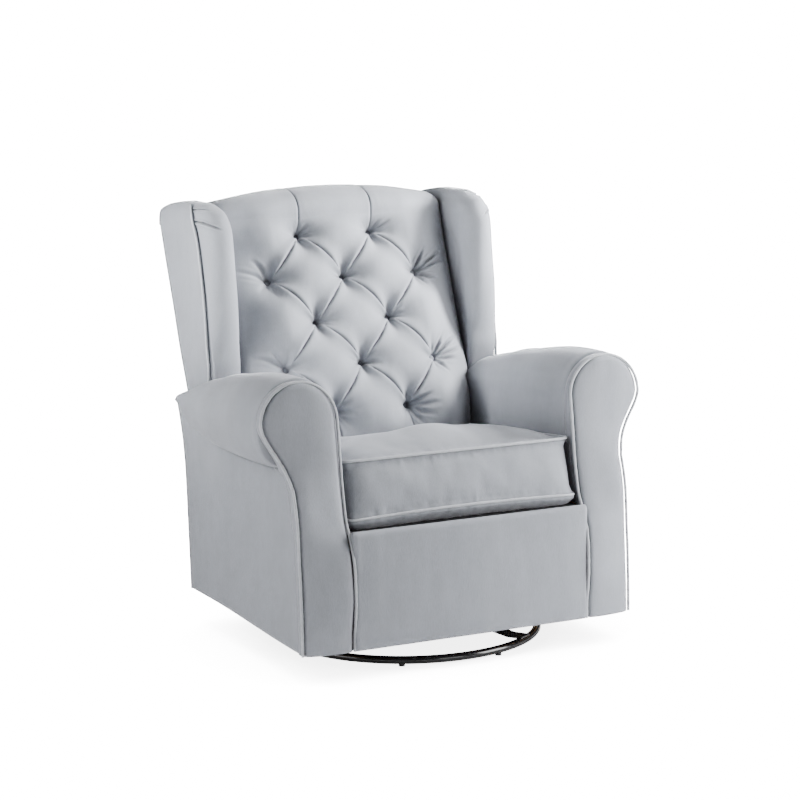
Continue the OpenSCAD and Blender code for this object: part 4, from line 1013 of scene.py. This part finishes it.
# Apron
def make_apron():
    half = SEAT_HALF - 0.5
    y_front, y_rear = -(BODY_FRONT - 3), -(BODY_FRONT - 3) + 22
    top, round_r = 321.0, 11
    foot = [BODY_LOW, BODY_LOW + 1.5, BODY_LOW + 4]
    outline = [
        (y_front + 3.0 * math.exp(-((z - BODY_LOW) / 3.0)), z)
        for z in np.concatenate([foot, np.linspace(BODY_LOW + 8, top - round_r, 60)])
    ]
    for a in np.linspace(0, np.pi, 22)[1:]:
        outline.append((y_front + round_r - round_r * math.cos(a), top - round_r + round_r * math.sin(a)))
    outline += [(y_rear, top - 40), (y_rear, 200), (y_rear, BODY_LOW)]
    outline += [((y_front + y_rear) / 2, BODY_LOW)]
    y, z = np.array(outline).T
    face = (y < y_front + 8).astype(float)
    loops = []
    for x in np.concatenate([[-half], np.linspace(-half + 2, half - 2, 150), [half]]):
        loop = at(x, y, z)
        side = min(half - abs(x), 60) / 60
        swell = 3.4 * (1 - ((z - 195) / 130) ** 2) * (0.3 + 0.7 * ease(side))
        slack = noise(loop, (120, 60, 150), 81) * 1.2 + noise(loop, (26, 40, 90), 82) * 0.45
        loop[:, 1] += face * (-swell + slack * ease(side * 3) + 3.0 * bell(half - abs(x), 4.0))
        loops.append(loop)
    loft("front_apron_pad", loops, fabric)


# Seat cushion
CUSHION_HALF = SEAT_HALF - 3


def cushion_outline(t, share=1.0, count=260):
    """Edge of the cushion at share t of the boxing, from the lower to the upper seam, shrunk to a share."""
    y0, y1 = -mix(290, 258, t), CUSHION_REAR - 2
    half, b = CUSHION_HALF - 2, (y1 - y0) / 2
    a = 2 * np.pi * (np.arange(count) + 0.5) / count
    across, along = np.abs(np.cos(a)) / half, np.abs(np.sin(a)) / b
    square = 20.0
    r = 1 / (across**square + along**square) ** (1 / square)
    x, y = r * np.cos(a), (y0 + y1) / 2 + r * np.sin(a)
    corner = np.minimum(across, along) / np.maximum(across, along)
    back_share = (y - y0) / (y1 - y0)
    z = mix(346 - 7 * corner**2 - 15 * back_share, 461 - 34 * back_share, t)
    cy = (y.max() + y.min()) / 2
    return x * share, cy + (y - cy) * share, z


# Underside: share of the outline and of the fall from the lower seam to the deck. It bags below the seam.
UNDERSIDE = [
    (0.04, 1), (0.3, 1), (0.6, 1), (0.78, 1), (0.88, 1), (0.94, 1), (0.975, 0.98), (1.0, 0.9), (1.018, 0.72),
    (1.024, 0.5), (1.018, 0.28), (1.002, 0.1),
]
SHRINK = 2.0 / 277
SEAM_SHRINK = 0.4 * SHRINK


def cushion_shape():
    """Closed cushion skin that starts a little smaller than its finished size."""
    loops = []
    widest = CUSHION_HALF + 3
    for share, fall in UNDERSIDE:
        x, y, z = cushion_outline(0, share)
        loops.append(at(clip(x, -widest, widest), y, mix(z, DECK_Z + 1, fall)))
    for t in np.linspace(0, 1, 13):
        shrink = SHRINK if 0.05 < t < 0.95 else SEAM_SHRINK
        loops.append(at(*cushion_outline(t, 1 - shrink)))
    for share in (0.96, 0.88, 0.76, 0.6, 0.42, 0.22, 0.04):
        x, y, z = cushion_outline(1, share)
        loops.append(at(x, y, z + 12 * (1 - share**2.4)))
    return loops


def read_points(mesh, kind="co"):
    values = np.empty(len(mesh.vertices) * 3)
    mesh.vertices.foreach_get(kind, values)
    return values.reshape(-1, 3)


def write_points(mesh, points):
    mesh.vertices.foreach_set("co", (points * MM).ravel())


def evaluated_mesh(thing):
    """The thing's mesh with its modifiers, which are taken off it."""
    depsgraph = bpy.context.evaluated_depsgraph_get()
    mesh = bpy.data.meshes.new_from_object(thing.evaluated_get(depsgraph))
    thing.modifiers.clear()
    return mesh


def voxel_remesh(thing, size=6.0):
    remesh = thing.modifiers.new("remesh", "REMESH")
    remesh.mode = "VOXEL"
    remesh.voxel_size = size * MM
    thing.data = evaluated_mesh(thing)
    return read_points(thing.data) / MM


CLOTH = {
    "quality": 5, "mass": 0.35, "tension_stiffness": 22, "compression_stiffness": 22, "shear_stiffness": 8,
    "bending_stiffness": 9, "use_pressure": True, "uniform_pressure_force": 3.6, "vertex_group_mass": "held",
    "shrink_min": -0.02,
}


def simulate(thing, start, held, cap=22.0, frames=20):
    """Blows the shell up as cloth with its seams held, then keeps the result within cap of the start."""
    scene = bpy.context.scene
    group = thing.vertex_groups.new(name="held")
    for weight in (0.25, 0.5, 0.75, 1.0):
        chosen = np.nonzero((held > weight - 0.25) & (held <= weight))[0]
        if len(chosen):
            group.add([int(i) for i in chosen], weight, "REPLACE")
    cloth = thing.modifiers.new("cloth", "CLOTH")
    for key, value in CLOTH.items():
        setattr(cloth.settings, key, value)
    cloth.settings.effector_weights.gravity = 0
    cloth.point_cache.frame_start = 1
    cloth.point_cache.frame_end = frames
    for step in range(1, frames + 1):
        scene.frame_set(step)
    done = evaluated_mesh(thing)
    move = read_points(done) / MM - start
    size = np.linalg.norm(move, axis=1)
    end = start + move * np.where(size > cap, cap / np.maximum(size, 1e-6), 1)[:, None]
    thing.vertex_groups.clear()
    thing.data = done
    write_points(done, end)
    scene.frame_set(1)
    return end


def make_cushion():
    thing = loft("seat_cushion_cover", cushion_shape(), fabric_seat)
    seams = [at(*cushion_outline(t, 1 - SEAM_SHRINK, 900))[::3] for t in (0, 1)]
    block = 4000

    def seam_distance(points):
        out = np.full(len(points), 1e9)
        for seam in seams:
            for i in range(0, len(points), block):
                d = np.linalg.norm(points[i : i + block, None] - seam[None], axis=2).min(axis=1)
                out[i : i + block] = np.minimum(out[i : i + block], d)
        return out

    points = voxel_remesh(thing)
    points = simulate(thing, points, ease((11 - seam_distance(points)) / 7))
    # The pile is stiff: it keeps only part of the small waves of the blown-up shell
    relax = thing.modifiers.new("relax", "SMOOTH")
    relax.factor = 0.5
    relax.iterations = 90
    calm = evaluated_mesh(thing)
    soft = read_points(calm) / MM
    bpy.data.meshes.remove(calm)
    points = mix(points, soft, (0.88 * ease((seam_distance(points) - 5) / 14))[:, None])
    near = seam_distance(points)
    # Gathers of the sewn edges, the soft lie of the fabric and the flat underside
    gather = noise(points, (9, 9, 70), 91) * 2.0 * bell(near, 17) * ease(near / 5)
    gather = gather * (0.35 + 0.65 * ease((noise(points, (90, 90, 400), 94) + 0.35) / 0.7))
    lie = noise(points, (110, 110, 60), 92) * 1.5 + noise(points, (38, 38, 38), 93) * 0.5
    points = points + read_points(thing.data, "normal") * (gather + lie * ease(near / 40))[:, None]
    points[:, 2] = np.maximum(points[:, 2], DECK_Z + 0.6)
    points[:, 0] = clip(points[:, 0], -(SEAT_HALF - 0.8), SEAT_HALF - 0.8)
    points[:, 1] = np.minimum(points[:, 1], CUSHION_REAR)
    low = points[:, 2] < 330
    points[low, 1] = np.maximum(points[low, 1], -301 + (points[low, 2] - 322) * -0.1)
    write_points(thing.data, points)
    subdivision = thing.modifiers.new("fine", "SUBSURF")
    subdivision.levels = 1
    subdivision.render_levels = 1
    fine = evaluated_mesh(thing)
    thing.data = fine
    fine.polygons.foreach_set("use_smooth", [True] * len(fine.polygons))
    fine.materials.clear()
    fine.materials.append(fabric_seat)


# Piping
def arm_welt_paths(flip):
    z = front_levels(60)
    inner, outer = (at(x, front_y(z, across), z) for x, across in ((front_x0(z), 0), (front_x1(z), 1)))
    s = np.linspace(0.004, 1, 60)
    seam = at(BODY_HALF + 1.5, roll_y(s), seam_at(s))
    return [(path * flip, False) for path in (np.concatenate([inner, outer[::-1]]), seam)]


def wing_welt_path(flip):
    z = np.linspace(566, 963, 88)
    return at(WING_HALF + 1.6 - wing_narrow(z), wing_y(z) + 0.8, z) * flip, False


make_back()
make_buttons()
make_cushion()
make_apron()
for make, name in (
    (make_arm_front, "arm_front_pad"),
    (make_arm_cover, "arm_cover"),
    (make_outside_arm, "outside_arm_cover"),
    (make_wing, "wing_pad"),
    (make_outside_wing, "outside_wing_cover"),
):
    make(name + "_right", False)
    make(name + "_left", True)
make_outside_back()
AS_BUILT, MIRRORED = np.array([1, 1, 1]), np.array([-1, 1, 1])
piping("arm_piping", arm_welt_paths(AS_BUILT) + arm_welt_paths(MIRRORED))
piping("wing_piping", [wing_welt_path(AS_BUILT), wing_welt_path(MIRRORED)], 3.4)
piping("cushion_piping", [(at(*cushion_outline(t, count=360)), True) for t in (0, 1)])

# Each piece's solids that it stands for and its share of fill
STANDS_FOR = {
    "inside_back_tufted": (["back_cushion"], 0.8),
    "covered_buttons": (["back_buttons"], None),
    "seat_cushion_cover": (["seat_cushion"], 0.75),
    "front_apron_pad": (["apron"], 0.8),
    "arm_front_pad_right": (["arm_front_right"], 0.8),
    "arm_front_pad_left": (["arm_front_left"], 0.8),
    "arm_cover_right": (["arm_roll_right", "inside_arms"], 0.8),
    "arm_cover_left": (["arm_roll_left", "inside_arms"], 0.8),
    "outside_arm_cover_right": (["outside_arms"], None),
    "outside_arm_cover_left": (["outside_arms"], None),
    "wing_pad_right": (["wing_right"], 0.8),
    "wing_pad_left": (["wing_left"], 0.8),
    "outside_wing_cover_right": (["outside_wings"], None),
    "outside_wing_cover_left": (["outside_wings"], None),
    "outside_back_cover": (["outside_back"], None),
    "arm_piping": (["arm_welts"], None),
    "wing_piping": (["wing_welts"], None),
    "cushion_piping": (["cushion_welts"], None),
}
for name, (stands_for, fill) in STANDS_FOR.items():
    thing = bpy.data.objects[name]
    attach(thing, "seat_cushion" if "cushion" in name else "chair")
    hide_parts(*stands_for)

# Stage, in metres: a white floor with a faint painted contact shadow, a floor below it for the bounce light
# and a dome
STAGE_R, AROUND, UPWARD = 14.0, 64, 10
BACKDROP_LIGHT, SHADE_LIGHT = 22.0, 5.0
angles = [2 * math.pi * i / AROUND for i in range(AROUND)]


def stage_material(name, tone, **values):
    material, tree, shader = new_material(name)
    feed(tree, shader, Base_Color=tone + (1,), **values)
    return material, tree, shader


def stage_object(name, points, faces, material):
    mesh = bpy.data.meshes.new(name)
    mesh.from_pydata(points, [], faces)
    mesh.materials.append(material)
    thing = scene_object(name, mesh)
    return thing


def disc(name, z, material):
    points = [(STAGE_R * math.cos(a), STAGE_R * math.sin(a), z) for a in angles]
    return stage_object(name, points, [tuple(range(AROUND))], material)


white = (1, 1, 1, 1)
seen, tree, shader = stage_material("floor_white", (0.9, 0.9, 0.9), Roughness=0.95, Emission_Color=white)
# The floor's glow is dimmed by occlusion near the chair: a painted contact shadow.
contact = node(tree, "ShaderNodeAmbientOcclusion", {"samples": 8}, Distance=0.45).outputs["AO"]
feed(tree, shader, Emission_Strength=ranged(tree, contact, 0.25, 0.98, SHADE_LIGHT, BACKDROP_LIGHT))
floor = disc("floor", 0, seen)
lit = stage_material("backdrop_white", (0, 0, 0), Emission_Color=white, Emission_Strength=BACKDROP_LIGHT)[0]
dome_points = []
for i in range(UPWARD):
    b = math.pi / 2 * i / UPWARD
    flat, rise = STAGE_R * math.cos(b), STAGE_R * math.sin(b) - 0.001
    dome_points += [(flat * math.cos(a), flat * math.sin(a), rise) for a in angles]
dome_points.append((0, 0, STAGE_R))
last = (UPWARD - 1) * AROUND
dome_faces = [tuple(int(i) for i in f) for f in grid_faces(UPWARD, AROUND, wrap_cols=True)]
dome_faces += [(last + k, last + (k + 1) % AROUND, UPWARD * AROUND) for k in range(AROUND)]
backdrop = stage_object("backdrop", dome_points, dome_faces, lit)
for thing in (floor, backdrop):
    thing.visible_diffuse = False
    thing.visible_glossy = False
    thing.visible_shadow = False
disc("floor_below", -0.002, stage_material("floor_bounce", (0.92, 0.92, 0.93), Roughness=0.95)[0])

world = bpy.data.worlds.new("studio")
bpy.context.scene.world = world
world.use_nodes = True
feed(world.node_tree, world.node_tree.nodes["Background"], Color=white, Strength=0.08)

# Lamps: name, place, target, width and height in metres, power in watts, spread in degrees
LAMPS = [
    ("near_right_low", (0.95, -0.95, 0.42), (0.1, -0.1, 0.3), (0.6, 0.7), 16.5, 180),
    ("near_right_high", (0.9, -0.3, 1.7), (0, 0.2, 0.8), (0.6, 0.6), 8, 180),
    ("right_level", (1.3, -0.3, 1.3), (0, 0.25, 0.9), (0.35, 0.4), 17, 80),
    ("left_high", (-2.0, -0.1, 1.7), (0, 0, 0.5), (1.2, 1.2), 19, 180),
    ("left_low", (-2.0, -0.2, 0.7), (0, 0, 0.5), (1.2, 0.8), 15, 180),
    ("left_wing", (-1.3, 0.2, 1.0), (-0.35, 0.35, 0.85), (0.4, 0.4), 2.0, 60),
    ("front_low", (0.3, -2.2, 0.35), (0.05, -0.33, 0.2), (0.8, 0.5), 4.0, 180),
    ("above", (0.1, -0.5, 2.3), (0, 0, 0.5), (0.8, 0.8), 3.0, 180),
    ("behind", (0.7, 2.6, 0.9), (0, 0.3, 0.5), (1.4, 1.0), 18, 180),
]
for name, where, target, size, power, spread in LAMPS:
    data = bpy.data.lights.new(name, "AREA")
    data.shape = "RECTANGLE"
    data.size, data.size_y = size
    data.energy = power
    data.spread = math.radians(spread)
    lamp = scene_object(name, data)
    lamp.visible_camera = False
    aim = np.array(target, float) - np.array(where, float)
    aim /= np.linalg.norm(aim)
    across = np.cross(aim, [0, 0, 1])
    across /= np.linalg.norm(across)
    lamp.matrix_world = turned(where, across, np.cross(across, aim), -aim)
